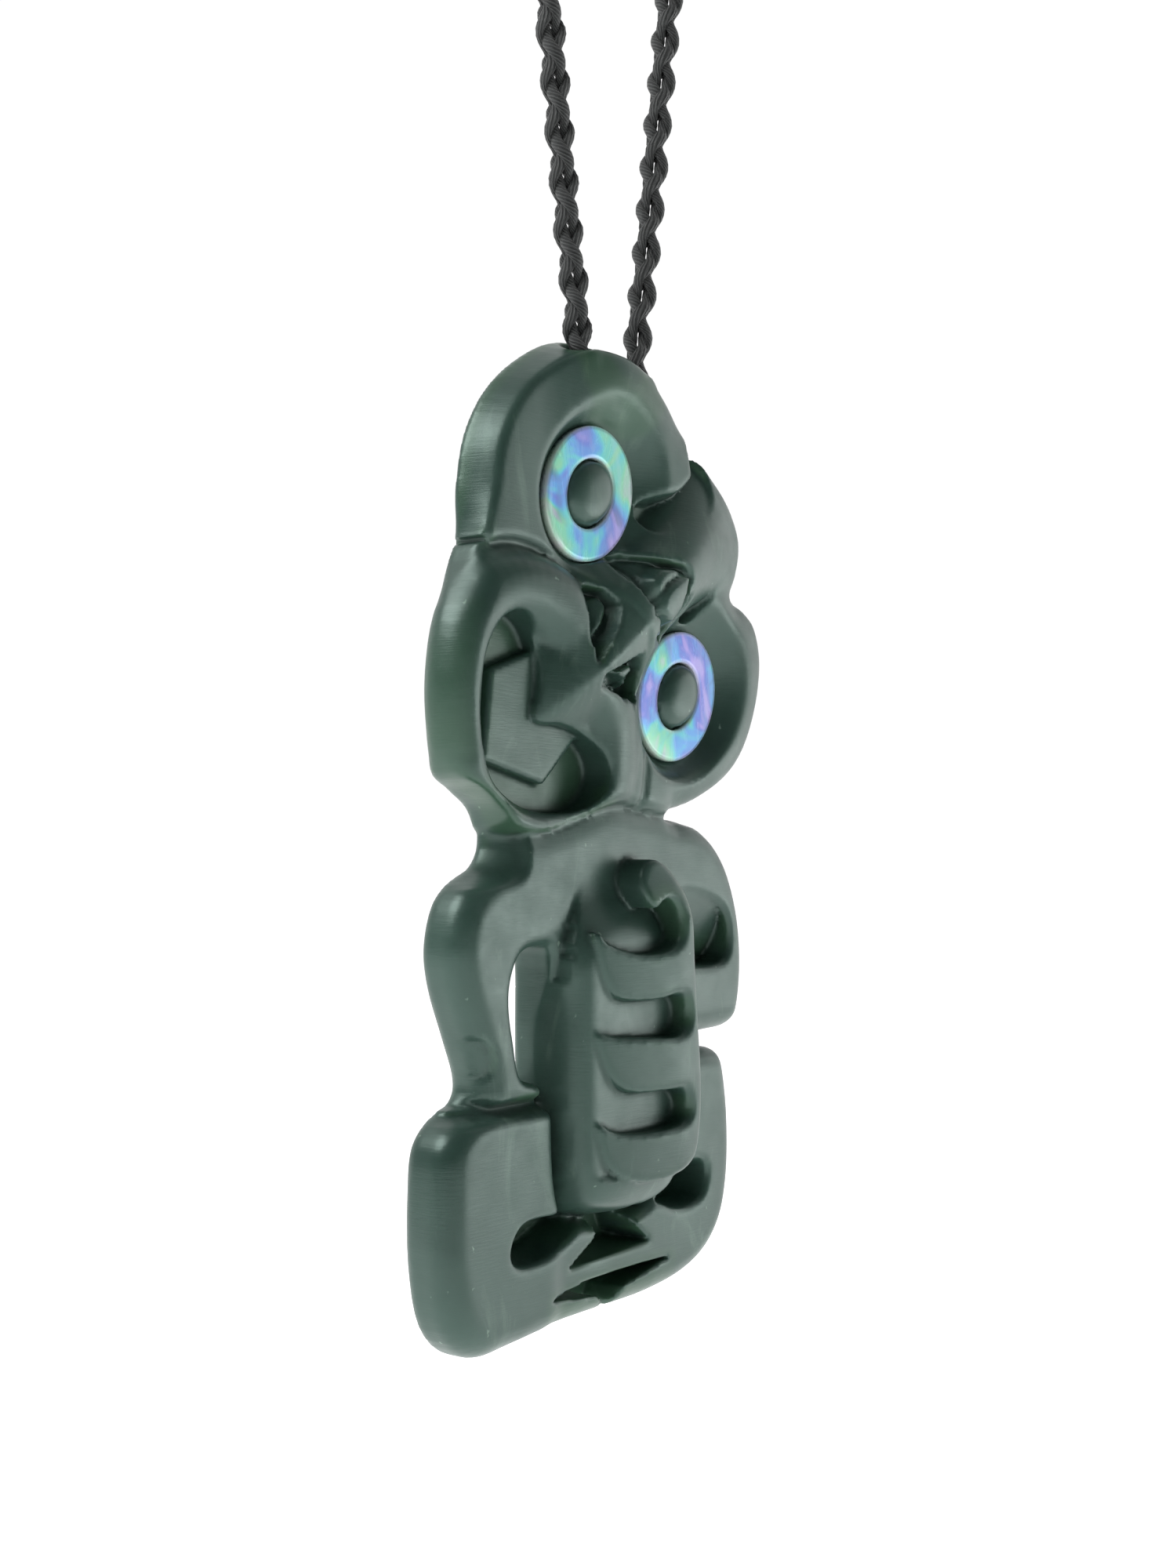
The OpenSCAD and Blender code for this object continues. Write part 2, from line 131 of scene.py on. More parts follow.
def curve_through(rows: Rows, steps: int, closed: bool = True) -> Array:
    """Catmull-Rom curve through the rows of a table.

    Args:
        rows: Points, with any number of columns.
        steps: Points made for each row.
        closed: Whether the last row joins the first.

    Returns:
        The curve's points. Between b and c it is
        (2b + (c - a)t + (2a - 5b + 4c - d)t^2 + (3b - a - 3c + d)t^3) / 2.
    """
    p = np.asarray(rows, float)
    if closed:
        a, b, c, d = (np.roll(p, k, axis=0) for k in (1, 0, -1, -2))
    else:
        e = np.vstack([p[:1], p, p[-1:]])
        a, b, c, d = e[:-3], e[1:-2], e[2:-1], e[3:]
    t = (np.arange(steps) / steps)[None, :, None]
    a, b, c, d = (q[:, None, :] for q in (a, b, c, d))
    made = 0.5 * (2 * b + (c - a) * t + (2 * a - 5 * b + 4 * c - d) * t**2 + (3 * b - a - 3 * c + d) * t**3)
    made = made.reshape(-1, p.shape[1])
    return made if closed else np.vstack([made, p[-1:]])


def to_segments(x: Array, z: Array, start: Array, end: Array) -> tuple[Array, Array]:
    """Distance from each point to each segment, and how far along it the nearest place is.

    Args:
        x: First coordinate of the points, flat.
        z: Second coordinate of the points, flat.
        start: First ends of the segments, n by 2.
        end: Second ends of the segments, n by 2.

    Returns:
        Distances and shares along, both points by segments.
    """
    run = (end - start).astype(np.float32)
    dx = x[:, None].astype(np.float32) - start[None, :, 0].astype(np.float32)
    dz = z[:, None].astype(np.float32) - start[None, :, 1].astype(np.float32)
    along = np.clip((dx * run[:, 0] + dz * run[:, 1]) / np.maximum((run**2).sum(1), TINY), 0, 1)
    return np.hypot(dx - along * run[:, 0], dz - along * run[:, 1]), along


def line_distance(line: Array, x: Array, z: Array) -> Array:
    """Least distance to the pieces of an open line, whose points are n by 2."""
    return to_segments(x.ravel(), z.ravel(), line[:-1], line[1:])[0].min(axis=1).reshape(x.shape)


def outline_distance(outline: Array, x: Array, z: Array) -> Array:
    """Signed distance to a closed outline, negative inside.

    Args:
        outline: Points of the outline, n by 2.
        x: First coordinate of the points.
        z: Second coordinate of the points.

    Returns:
        Least distance to a side, with its sign from the even-odd rule.
    """
    start, end = outline, np.roll(outline, -1, axis=0)
    parts = []
    for px, pz in zip(np.array_split(x.ravel(), CHUNKS), np.array_split(z.ravel(), CHUNKS)):
        least = to_segments(px, pz, start, end)[0].min(axis=1)
        spans = (start[None, :, 1] > pz[:, None]) != (end[None, :, 1] > pz[:, None])
        rise = np.where(end[:, 1] == start[:, 1], TINY, end[:, 1] - start[:, 1])
        at = start[:, 0] + (pz[:, None] - start[:, 1]) * (end[:, 0] - start[:, 0]) / rise
        inside = (spans & (px[:, None] < at)).sum(axis=1) % 2 == 1
        parts.append(np.where(inside, -least, least))
    return np.concatenate(parts).reshape(x.shape)


def ridge_height(rows: Array, u: Array, v: Array, power: float) -> Array:
    """Height of a ridge whose rows hold its place, half width and height.

    Args:
        rows: Points of the ridge line: u, v, half width, height.
        u: First coordinate of the points.
        v: Second coordinate of the points.
        power: Fullness of the section.

    Returns:
        The largest, over the line's pieces, of height (1 - (distance / half width)^power)^(1/power).
    """
    start, end = rows[:-1], rows[1:]
    parts = []
    for pu, pv in zip(np.array_split(u.ravel(), CHUNKS), np.array_split(v.ravel(), CHUNKS)):
        away, along = to_segments(pu, pv, start[:, :2], end[:, :2])
        wide = start[:, 2] + (end[:, 2] - start[:, 2]) * along
        high = start[:, 3] + (end[:, 3] - start[:, 3]) * along
        q = away / wide
        parts.append(np.where(q < 1, high * bulge(q, power), -RIDGE_FALL * (q - 1)).max(axis=1))
    return np.concatenate(parts).reshape(u.shape)


def surface_net(values: Array, origin: Array, pitch: float) -> tuple[Array, Array]:
    """Surface where a sampled solid changes sign, with one point in each cell that it crosses.

    Args:
        values: Samples on a box grid, negative inside.
        origin: Place of the first sample.
        pitch: Distance between samples.

    Returns:
        Points, each the mean of where the surface crosses its cell's edges, and the four sided
        faces round each crossed edge, facing outwards.
    """
    cells = tuple(np.array(values.shape) - 1)
    size = int(np.prod(cells))
    total, count, loops = np.zeros((size, 3)), np.zeros(size), []
    for axis in range(3):
        near = np.take(values, range(cells[axis]), axis=axis)
        far = np.take(values, range(1, cells[axis] + 1), axis=axis)
        edges = np.argwhere((near < 0) != (far < 0))
        a, b = near[tuple(edges.T)], far[tuple(edges.T)]
        place = edges.astype(float)
        place[:, axis] += a / (a - b)
        unit = np.eye(3, dtype=int)
        one, two = unit[(axis + 1) % 3], unit[(axis + 2) % 3]
        ids = []
        for offset in (-one - two, -two, 0 * one, -one):
            cell = np.ravel_multi_index(tuple((edges + offset).T), cells)
            ids.append(cell)
            count += np.bincount(cell, minlength=size)
            for k in range(3):
                total[:, k] += np.bincount(cell, weights=place[:, k], minlength=size)
        loop = np.stack(ids, axis=1)
        loops.append(np.where((a < 0)[:, None], loop, loop[:, ::-1]))
    used = count > 0
    number = np.cumsum(used) - 1
    points = origin + pitch * total[used] / count[used][:, None]
    return points, number[np.vstack(loops)]


def read_grid(values: Array, origin: Array, pitch: float, points: Array) -> Array:
    """Samples a box grid at any points, blended in a straight line between its eight neighbours.

    Args:
        values: Samples on a box grid.
        origin: Place of the first sample.
        pitch: Distance between samples.
        points: Places to read, n by 3.

    Returns:
        One value for each point.
    """
    g = (points - origin) / pitch
    low = np.clip(np.floor(g).astype(int), 0, np.array(values.shape) - 2)
    t = g - low
    out = np.zeros(len(points))
    for corner in np.ndindex(2, 2, 2):
        weight = np.prod(np.where(corner, t, 1 - t), axis=1)
        out += weight * values[tuple((low + corner).T)]
    return out


def grid_faces(rings: int, sides: int, loop_rings: bool = False) -> Array:
    """Four sided faces of a surface made of rings of points, each ring closed.

    Args:
        rings: Number of rings.
        sides: Points in a ring.
        loop_rings: Whether the last ring joins the first.

    Returns:
        Face corners, as numbers of the points taken ring by ring.
    """
    i = np.arange(rings if loop_rings else rings - 1)[:, None]
    j = np.arange(sides)[None, :]
    a, b = i * sides + j, i * sides + (j + 1) % sides
    c, d = ((i + 1) % rings) * sides + (j + 1) % sides, ((i + 1) % rings) * sides + j
    return np.stack([a, b, c, d], axis=-1).reshape(-1, 4)


# ---- meshes and materials ----------------------------------------------------------------------


def make_piece(
    name: str,
    points: Array,
    faces: Array,
    caps: Sequence[Sequence[int]] = (),
    uv: Array | None = None,
    marks: dict[str, Array] | None = None,
) -> bpy.types.Object:
    """Puts a surface into a mesh object that sits at the origin.

    Args:
        name: Name of the object and its mesh.
        points: Places in millimetres, n by 3.
        faces: Four sided faces, m by 4.
        caps: Further faces of any number of corners.
        uv: A flat place for each point, put on every corner that uses it.
        marks: Named values for each point.

    Returns:
        The object, smooth shaded and linked to the scene.
    """
    mesh = bpy.data.meshes.new(name)
    mesh.from_pydata((points * MM).tolist(), [], faces.tolist() + [list(c) for c in caps])
    mesh.shade_smooth()
    if uv is not None:
        corner = np.empty(len(mesh.loops), np.int32)
        mesh.loops.foreach_get("vertex_index", corner)
        mesh.uv_layers.new(name="along").data.foreach_set("uv", uv[corner].astype(np.float32).ravel())
    for key, values in (marks or {}).items():
        mesh.attributes.new(key, "FLOAT", "POINT").data.foreach_set("value", values.astype(np.float32))
    mesh.validate()
    made = bpy.data.objects.new(name, mesh)
    bpy.context.scene.collection.objects.link(made)
    log.info("%s: %d points, %d faces", name, len(mesh.vertices), len(mesh.polygons))
    return made


class Graph:
    """The nodes of one material, with its surface shader made ready."""

    def __init__(self, name: str) -> None:
        """Starts a material with a Principled surface.

        Args:
            name: Name of the material.
        """
        self.material = bpy.data.materials.new(name)
        self.material.use_nodes = True
        self.tree = self.material.node_tree
        self.tree.nodes.clear()
        self.shader = self.add("BsdfPrincipled")
        self.wire(self.shader.outputs[0], self.add("OutputMaterial").inputs["Surface"])
        self.place = self.add("TexCoord").outputs["Object"]

    def add(self, kind: str, settings: dict[str, Any] | None = None, **inputs: Any) -> bpy.types.Node:
        """Adds a node.

        Args:
            kind: Its type, without the leading ShaderNode.
            settings: Properties of the node.
            **inputs: Values or outputs for its sockets, with spaces written as underscores.

        Returns:
            The node.
        """
        node = self.tree.nodes.new("ShaderNode" + kind)
        for key, value in (settings or {}).items():
            setattr(node, key, value)
        for key, value in inputs.items():
            self.put(node.inputs[key.replace("_", " ")], value)
        return node

    def wire(self, source: bpy.types.NodeSocket, target: bpy.types.NodeSocket) -> None:
        """Links an output to an input."""
        self.tree.links.new(source, target)

    def put(self, socket: bpy.types.NodeSocket, value: Any) -> None:
        """Sets or links a socket.

        Args:
            socket: The input.
            value: A number or colour to set, or an output to link.
        """
        if isinstance(value, bpy.types.NodeSocket):
            self.wire(value, socket)
        else:
            socket.default_value = value

    def finish(self, **inputs: Any) -> None:
        """Sets or links sockets of the surface shader."""
        for key, value in inputs.items():
            self.put(self.shader.inputs[key.replace("_", " ")], value)

    def noise(
        self, vector: Any, scale: float, detail: float = 4, roughness: float = 0.5, distortion: float = 0
    ) -> Any:
        """Adds a noise and returns its level."""
        return self.add(
            "TexNoise", Vector=vector, Scale=scale, Detail=detail, Roughness=roughness, Distortion=distortion
        ).outputs["Fac"]

    def stretch(self, vector: Any, scale: Sequence[float], turn: Sequence[float] = (0, 0, 0)) -> Any:
        """Scales and turns coordinates."""
        return self.add("Mapping", Vector=vector, Scale=scale, Rotation=turn).outputs[0]

    def levels(self, value: Any, low: float, high: float, to_low: float = 0, to_high: float = 1) -> Any:
        """Maps a span of values to another, held at its ends."""
        return self.add(
            "MapRange", Value=value, From_Min=low, From_Max=high, To_Min=to_low, To_Max=to_high
        ).outputs[0]

    def sum(self, kind: str, a: Any, b: Any) -> Any:
        """Adds a maths node.

        Args:
            kind: What it does, such as ADD or MULTIPLY.
            a: First number.
            b: Second number.

        Returns:
            Its result.
        """
        node = self.add("Math", {"operation": kind})
        self.put(node.inputs[0], a)
        self.put(node.inputs[1], b)
        return node.outputs[0]

    def blend(self, share: Any, a: Any, b: Any, kind: str = "MIX") -> Any:
        """Mixes two colours.

        Args:
            share: 0 for the first colour, 1 for the second.
            a: First colour.
            b: Second colour.
            kind: How they are mixed.

        Returns:
            The mixed colour.
        """
        node = self.add("Mix", {"data_type": "RGBA", "blend_type": kind})
        self.put(node.inputs[0], share)
        self.put(node.inputs[6], a)
        self.put(node.inputs[7], b)
        return node.outputs[2]

    def colours(self, value: Any, stops: Sequence[tuple[float, tuple[float, float, float]]]) -> Any:
        """Adds a colour ramp.

        Args:
            value: Where the ramp is read.
            stops: Places, from 0 to 1, each with its red, green and blue.

        Returns:
            The ramp's colour.
        """
        node = self.add("ValToRGB", Fac=value)
        parts = node.color_ramp.elements
        while len(parts) < len(stops):
            parts.new(0.5)
        for part, (at, rgb) in zip(parts, stops):
            part.position, part.color = at, (*rgb, 1)
        return node.outputs[0]

    def relief(self, height: Any, depth: float, strength: float = 1, under: Any = None) -> Any:
        """Adds a bump.

        Args:
            height: Height of the pattern, from 0 to 1.
            depth: Its depth in metres.
            strength: How much of it shows.
            under: Normal of a coarser or finer bump that this one lies on.

        Returns:
            The bent normal.
        """
        node = self.add("Bump", Height=height, Distance=depth, Strength=strength)
        if under is not None:
            self.wire(under, node.inputs["Normal"])
        return node.outputs[0]


@dataclass(frozen=True)
class Nephrite:
    """Dark grey-green stone with a satin polish, with a painted green glow of light through its thin parts.
    """

    name: str = "nephrite"
    deep: tuple[float, float, float] = (0.018, 0.042, 0.033)
    pale: tuple[float, float, float] = (0.038, 0.076, 0.061)
    fleck: tuple[float, float, float] = (0.17, 0.25, 0.20)
    # Painted glow: green standing in for light that passes through the stone where it is thin
    painted_glow: tuple[float, float, float] = (0.045, 0.115, 0.045)
    roughness: float = 0.34

    def material(self) -> bpy.types.Material:
        """Makes the material.

        Returns:
            Soft clouds of two greens with pale veins and specks, a painted green glow of light through the
            stone where it is thin and painted shade that darkens its hollows, worn unevenly and finely
            scratched.
        """
        g = Graph(self.name)
        clouds = g.noise(g.place, 55, 5, 0.55, 0.6)
        base = g.blend(g.levels(clouds, 0.32, 0.68), (*self.deep, 1), (*self.pale, 1))
        veins = g.noise(g.stretch(g.place, (1, 1, 0.35), (0, 0.5, 0)), 160, 6, 0.6, 1.5)
        base = g.blend(g.levels(veins, 0.60, 0.78, 0, 0.35), base, (*self.fleck, 1))
        specks = g.noise(g.place, 900, 2, 0.5)
        base = g.blend(g.levels(specks, 0.74, 0.80, 0, 0.8), base, (*self.fleck, 1))
        # Painted glow: greener where the stone is thin, in place of light shining through it
        thin = g.add("Attribute", {"attribute_name": "thin"}).outputs["Fac"]
        base = g.blend(g.levels(thin, 0.45, 1, 0, 0.3), base, (*self.painted_glow, 1))
        # Painted shade: darker where most of what lies around is stone, in corners and recesses; these places
        # are also rougher
        hollow = g.add("Attribute", {"attribute_name": "hollow"}).outputs["Fac"]
        base = g.blend(g.levels(hollow, 0, 1, 0, 0.75), base, (0.006, 0.012, 0.010, 1))
        wear = g.noise(g.place, 260, 6, 0.6)
        rough = g.levels(wear, 0.3, 0.7, self.roughness - 0.05, self.roughness + 0.08)
        rough = g.sum("ADD", rough, g.levels(hollow, 0, 1, 0, 0.12))
        scratch = g.noise(g.stretch(g.place, (1, 1, 14), (0.3, 0.6, 0)), 420, 2, 0.5)
        fine = g.relief(g.levels(scratch, 0.45, 0.55), 0.000012, 0.25)
        soft = g.relief(g.noise(g.place, 90, 3, 0.5), 0.00018, 0.35, fine)
        g.finish(
            Base_Color=base, Roughness=rough, Normal=soft, IOR=1.62, Specular_Tint=(0.78, 1.0, 0.92, 1),
            Subsurface_Weight=0.08, Subsurface_Scale=0.0012, Subsurface_Radius=(0.35, 1.0, 0.5),
        )
        return g.material


@dataclass(frozen=True)
class Paua:
    """Polished paua shell: drifting bands of blue, violet, turquoise, green and pink."""

    name: str = "paua_shell"
    turn: float = 0.6

    def material(self) -> bpy.types.Material:
        """Makes the material.

        Returns:
            Drifting colour bands under a pale silk and dark clouds, with a chalky cut edge and a thin
            clear coat.
        """
        g = Graph(self.name)
        drift = g.noise(g.stretch(g.place, (1, 1, 1), (0, self.turn, 0)), 120, 3, 0.5, 1.2)
        colour = g.colours(drift, (
            (0.30, (0.36, 0.30, 0.74)), (0.38, (0.10, 0.17, 0.62)), (0.46, (0.08, 0.34, 0.74)),
            (0.53, (0.08, 0.56, 0.60)), (0.60, (0.20, 0.62, 0.38)), (0.70, (0.58, 0.42, 0.66))))
        silk = g.noise(g.stretch(g.place, (1, 1, 0.22), (0, self.turn, 0)), 520, 4, 0.6, 1.0)
        colour = g.blend(g.levels(silk, 0.45, 0.85, 0, 0.30), colour, (0.60, 0.74, 0.80, 1))
        dusk = g.noise(g.place, 170, 3, 0.5, 1.0)
        colour = g.blend(g.levels(dusk, 0.56, 0.74, 0, 0.75), colour, (0.05, 0.10, 0.22, 1))
        edge = g.add("Attribute", {"attribute_name": "edge"}).outputs["Fac"]
        colour = g.blend(g.levels(edge, 0, 1, 0, 0.7), colour, (0.62, 0.66, 0.60, 1))
        g.finish(
            Base_Color=colour, Metallic=0.15, Roughness=g.levels(silk, 0.3, 0.7, 0.20, 0.34),
            Normal=g.relief(silk, 0.00004, 0.3), Coat_Weight=0.25, Coat_Roughness=0.10,
        )
        return g.material


@dataclass(frozen=True)
class WaxedThread:
    """Charcoal waxed thread, its fine plies wound at an angle to the strand."""

    name: str = "waxed_cord"
    ply: float = 0.30

    def material(self) -> bpy.types.Material:
        """Makes the material.

        Returns:
            Dark plies and fibres that follow the strand's own flat map in millimetres, with painted shade in
            the grooves between plies, paler painted crests, and pale dust.
        """
        g = Graph(self.name)
        flat = g.add("UVMap", {"uv_map": "along"}).outputs[0]
        lay = g.stretch(flat, (1, 1, 1), (0, 0, 0.55))
        plies = g.add(
            "TexWave", {"wave_type": "BANDS", "bands_direction": "Y"},
            Vector=lay, Scale=0.314 / self.ply, Distortion=1.2, Detail=2.0, Detail_Scale=1.5,
        ).outputs["Fac"]
        fibres = g.noise(g.stretch(flat, (1.5, 14, 1), (0, 0, 0.55)), 1.6, 5, 0.7)
        high = g.sum("ADD", g.sum("MULTIPLY", plies, 0.7), g.sum("MULTIPLY", fibres, 0.6))
        dust = g.noise(g.place, 700, 3, 0.6)
        # Painted shade and highlight: darker in the grooves between plies, paler on their crests, with random
        # fibre tone
        colour = g.colours(high, (
            (0.25, (0.002, 0.003, 0.003)), (0.75, (0.015, 0.018, 0.018)), (1.0, (0.05, 0.055, 0.053))))
        colour = g.blend(g.levels(dust, 0.62, 0.80, 0, 0.5), colour, (0.10, 0.11, 0.105, 1))
        g.finish(
            Base_Color=colour, Roughness=g.levels(high, 0.2, 1.0, 0.62, 0.42),
            Normal=g.relief(high, 0.00016, 0.9), Sheen_Weight=0.12, Sheen_Roughness=0.5,
        )
        return g.material


# ---- the carved stone --------------------------------------------------------------------------


class Side(Enum):
    """Which of the two eyes, by the sign of its place across the face."""

    UPPER = 1
    LOWER = -1


@dataclass
class Face:
    """The face's own axes on the leaning head: u runs up to the forehead, v to the upper eye."""

    at: tuple[float, float] = (5.5, 25.1)
    tilt: float = 39.0
    eye_u: float = 0.2
    eye_v: float = 12.55

    def axes(self) -> tuple[Array, Array]:
        """Returns the unit vectors of u and v as x and z."""
        c, s = math.cos(math.radians(self.tilt)), math.sin(math.radians(self.tilt))
        return np.array([c, s]), np.array([-s, c])

    def place(self, rows: Rows) -> Array:
        """Turns places on the face into places on the stone.

        Args:
            rows: Places as u and v.

        Returns:
            The same places as x and z.
        """
        u, v = self.axes()
        p = np.asarray(rows, float)
        return np.array(self.at) + p[:, :1] * u + p[:, 1:2] * v

    def read(self, x: Array, z: Array) -> tuple[Array, Array]:
        """Turns places on the stone into places on the face.

        Args:
            x: Places across.
            z: Places up.

        Returns:
            The same places as u and v.
        """
        u, v = self.axes()
        dx, dz = x - self.at[0], z - self.at[1]
        return dx * u[0] + dz * u[1], dx * v[0] + dz * v[1]

    def eye_share(self, u: Array, v: Array, side: Side, half: tuple[float, float]) -> Array:
        """Returns how far out a place is in an oval round an eye, 1 on the oval."""
        return np.hypot((u - self.eye_u) / half[0], (v - side.value * self.eye_v) / half[1])


# Outline of the head, u and v, and of the body, x and z
HEAD_EDGE = (
    (-17.4, 17.4), (-13.2, 21.1), (-9.0, 24.5), (-3.8, 26.4), (2.0, 26.6), (8.3, 25.4), (12.9, 22.5),
    (16.0, 18.5), (17.4, 14.0), (17.8, 10.6), (18.4, 8.6), (19.2, 6.4), (20.0, 3.2), (20.7, -1.0),
    (19.9, -5.4), (17.0, -7.9), (15.0, -9.6), (16.4, -12.0), (17.2, -15.0), (15.6, -18.9), (11.6, -22.3),
    (6.3, -24.5), (1.0, -24.6), (-5.2, -22.8), (-9.6, -20.7))
BODY_EDGE = (
    (12.0, 2.3), (14.8, 2.1), (18.8, 0.7), (22.4, -2.6), (24.8, -7.6), (25.6, -13.0), (25.0, -18.0),
    (23.4, -20.3), (19.0, -20.7), (14.0, -20.9), (11.4, -21.6), (14.0, -22.3), (18.6, -22.4), (21.2, -23.2),
    (22.4, -27.0), (22.9, -32.0), (22.6, -37.0), (21.2, -41.2), (18.2, -44.3), (13.6, -46.1), (7.0, -46.9),
    (0.0, -47.0), (-8.0, -47.1), (-15.0, -47.6), (-20.4, -47.8), (-24.0, -44.8), (-25.5, -38.8),
    (-25.6, -32.0), (-25.0, -28.0), (-22.6, -25.6), (-19.8, -24.3), (-19.4, -22.4), (-21.0, -18.5),
    (-22.9, -14.0), (-23.5, -10.0), (-22.2, -5.8), (-19.2, -3.3), (-16.6, -1.9), (-15.8, 0.3), (-16.9, 2.8),
    (-19.8, 4.6), (-22.9, 6.2), (-23.9, 10.2), (-24.1, 15.5), (-22.8, 21.5))
# Ridge down the nose, roof shaped upper lip, and one side of the lips: u, v, half width, height
RIDGE = (
    (-5.0, 0.0, 6.2, 6.7), (0.0, 0.0, 5.6, 7.0), (4.0, -0.2, 5.6, 6.7), (9.0, -0.8, 6.2, 6.0),
    (14.0, -2.0, 7.8, 5.0), (18.5, -2.6, 8.6, 3.7), (22.0, -2.8, 9.0, 2.4))
ROOF = (
    (-2.0, 0.0, 8.0, 6.8), (-7.0, 0.0, 9.5, 6.6), (-12.0, 0.0, 9.0, 6.0), (-17.0, 0.0, 6.0, 4.6),
    (-21.8, 0.0, 2.0, 2.4))
LIP = (
    (-12.2, 0.0, 5.0, 4.8), (-11.8, 4.0, 4.8, 4.8), (-12.6, 7.6, 4.6, 4.6), (-16.0, 11.6, 4.0, 4.3),
    (-20.5, 13.2, 3.7, 4.0), (-25.0, 12.4, 3.7, 3.9), (-29.0, 9.4, 3.6, 3.8), (-32.0, 5.2, 3.4, 3.7),
    (-33.4, 0.0, 3.2, 3.6))
# Opening of the mouth: u, v
MOUTH = (
    (-21.8, 0.2), (-19.2, 2.6), (-17.2, 5.6), (-17.0, 8.4), (-18.4, 10.6), (-21.4, 11.4), (-24.8, 10.2),
    (-27.8, 7.4), (-30.4, 3.8), (-31.0, 0.0), (-29.6, -3.8), (-26.8, -7.2), (-23.6, -9.8), (-20.4, -11.2),
    (-17.4, -10.6), (-16.2, -8.2), (-17.0, -5.2), (-19.2, -2.4))
# Point of the tongue, cove beside a brow's tip, and cuts of one side of the face: u, v
TONGUE = ((-14, -5.5), (-14, 4.5), (-18, 5.5), (-23.5, 7.5), (-30, 1.5), (-24, -6))
BROW_COVE = ((21, 9.5), (18, 6.5), (16.5, 4), (13.5, 3.5), (10.5, 4), (7, 6))
NOSTRIL = ((-2.5, 7), (1, 4.5), (5, 0.5), (4.5, 0), (1, 2.5), (-1, 2.5), (-3, -0.5), (-3.5, 1.5))
CHEEK_LEAF = ((-9.5, 7), (-7.5, 6.5), (-6, 5), (-6, 3), (-8, 2), (-13.5, 0.5), (-12, 3.5), (-10.5, 5.5))
LEAF_HEART = ((-8.5, 5.5), (-7, 5), (-6.5, 4), (-7.5, 3), (-10.5, 2), (-9.5, 4))
# Lines engraved round the nostrils: u, v
ENGRAVED = (
    ((-1.5, 6.5), (-1, 3.5), (-2.5, 0)),
    ((-1.5, 6.5), (1.5, 3.5), (4.5, 0)),
    ((4.5, 0), (1.5, 1), (-1.5, 1), (-3.5, 0)),
    ((4, -2.5), (2, -4), (-1.5, -4), (-4, -2.5)),
    ((-13.5, -1.5), (-11.5, -3.5), (-11, -5)),
    ((-12.5, -2.5), (-10.5, -4.5), (-8, -4.5), (-6.5, -4.5)))
# Lower edge of the chin, from the left neck notch to the right one: x, z
CHIN = ((-24, 4.5), (-20, 2.5), (-16, 1), (-12, 0.5), (-7, 1.5), (-2, 3), (1, 3.5), (5, 3), (12, 2))
# Hand, belly, and the hollows of the arms and legs: x, z
HAND = (
    (0.1, -3.8), (1.3, -2.3), (2.8, -2.0), (4.6, -2.9), (6.5, -5.0), (7.3, -8.0), (7.6, -12.0), (8.2, -18.0),
    (8.8, -23.0), (8.8, -28.0), (8.0, -31.5), (6.6, -33.0), (3.6, -33.7), (-0.4, -33.9), (-3.7, -33.0),
    (-5.6, -31.5), (-6.6, -29.0), (-6.8, -27.4), (-4.2, -28.6), (-0.3, -29.0), (4.0, -28.8), (5.8, -28.1),
    (6.2, -27.0), (5.6, -25.6), (4.0, -25.1), (-1.3, -25.0), (-3.8, -24.3), (-5.5, -22.5), (-6.8, -19.8),
    (-6.9, -18.7), (-4.2, -19.3), (-0.3, -19.6), (3.9, -19.8), (5.7, -19.0), (6.1, -17.5), (5.5, -16.0),
    (4.0, -15.6), (1.6, -15.9), (-1.9, -15.9), (-4.5, -15.3), (-6.1, -13.0), (-6.8, -10.4), (-6.7, -8.8),
    (-5.2, -10.2), (-1.9, -11.2), (0.7, -11.4), (3.0, -11.1), (4.6, -10.2), (5.1, -8.6), (4.8, -7.0),
    (3.6, -6.0), (2.4, -6.3), (1.2, -6.9), (0.2, -5.6))
BELLY = (
    (-8.2, -9.5), (-9.2, -14.0), (-9.6, -20.0), (-9.4, -27.0), (-8.9, -33.0), (-7.2, -36.2), (-3.5, -37.4),
    (0.5, -37.8), (4.5, -37.4), (7.8, -36.0), (9.6, -33.0), (10.0, -27.0), (10.0, -20.0), (9.6, -12.0),
    (8.6, -6.0), (5.0, -1.0), (0.0, 0.5), (-5.0, -3.5))
LEFT_ARM = (
    (-9.8, -11.2), (-12.0, -10.3), (-14.6, -11.0), (-16.0, -13.4), (-16.2, -16.0), (-15.6, -19.0),
    (-14.6, -22.4), (-12.0, -23.4), (-9.8, -24.4), (-9.6, -18.0))
LEFT_LEG = (
    (-16.6, -38.6), (-16.0, -39.8), (-14.0, -40.2), (-10.5, -39.9), (-7.0, -38.7), (-4.3, -37.2),
    (-6.0, -36.6), (-10.0, -36.1), (-14.0, -36.1), (-15.8, -37.0))
RIGHT_LEG = (
    (8.0, -37.5), (10.0, -36.0), (12.5, -34.6), (15.0, -34.0), (17.0, -34.6), (17.5, -36.0), (16.5, -38.0),
    (14.0, -38.8), (11.0, -38.6), (9.0, -37.9))
BETWEEN_LEGS = (
    (-7.6, -41.7), (-3.6, -39.6), (-1.0, -37.2), (1.5, -36.6), (3.4, -37.8), (4.2, -39.4), (6.6, -41.2),
    (0.0, -41.5))
BETWEEN_FEET = (
    (-10.6, -44.2), (-5.0, -43.4), (0.0, -43.2), (5.0, -43.2), (10.2, -43.4), (5.0, -44.4), (1.6, -45.0),
    (0.9, -46.4), (0.9, -48.5), (-0.7, -48.5), (-0.8, -46.2), (-2.6, -45.2), (-6.0, -44.8))
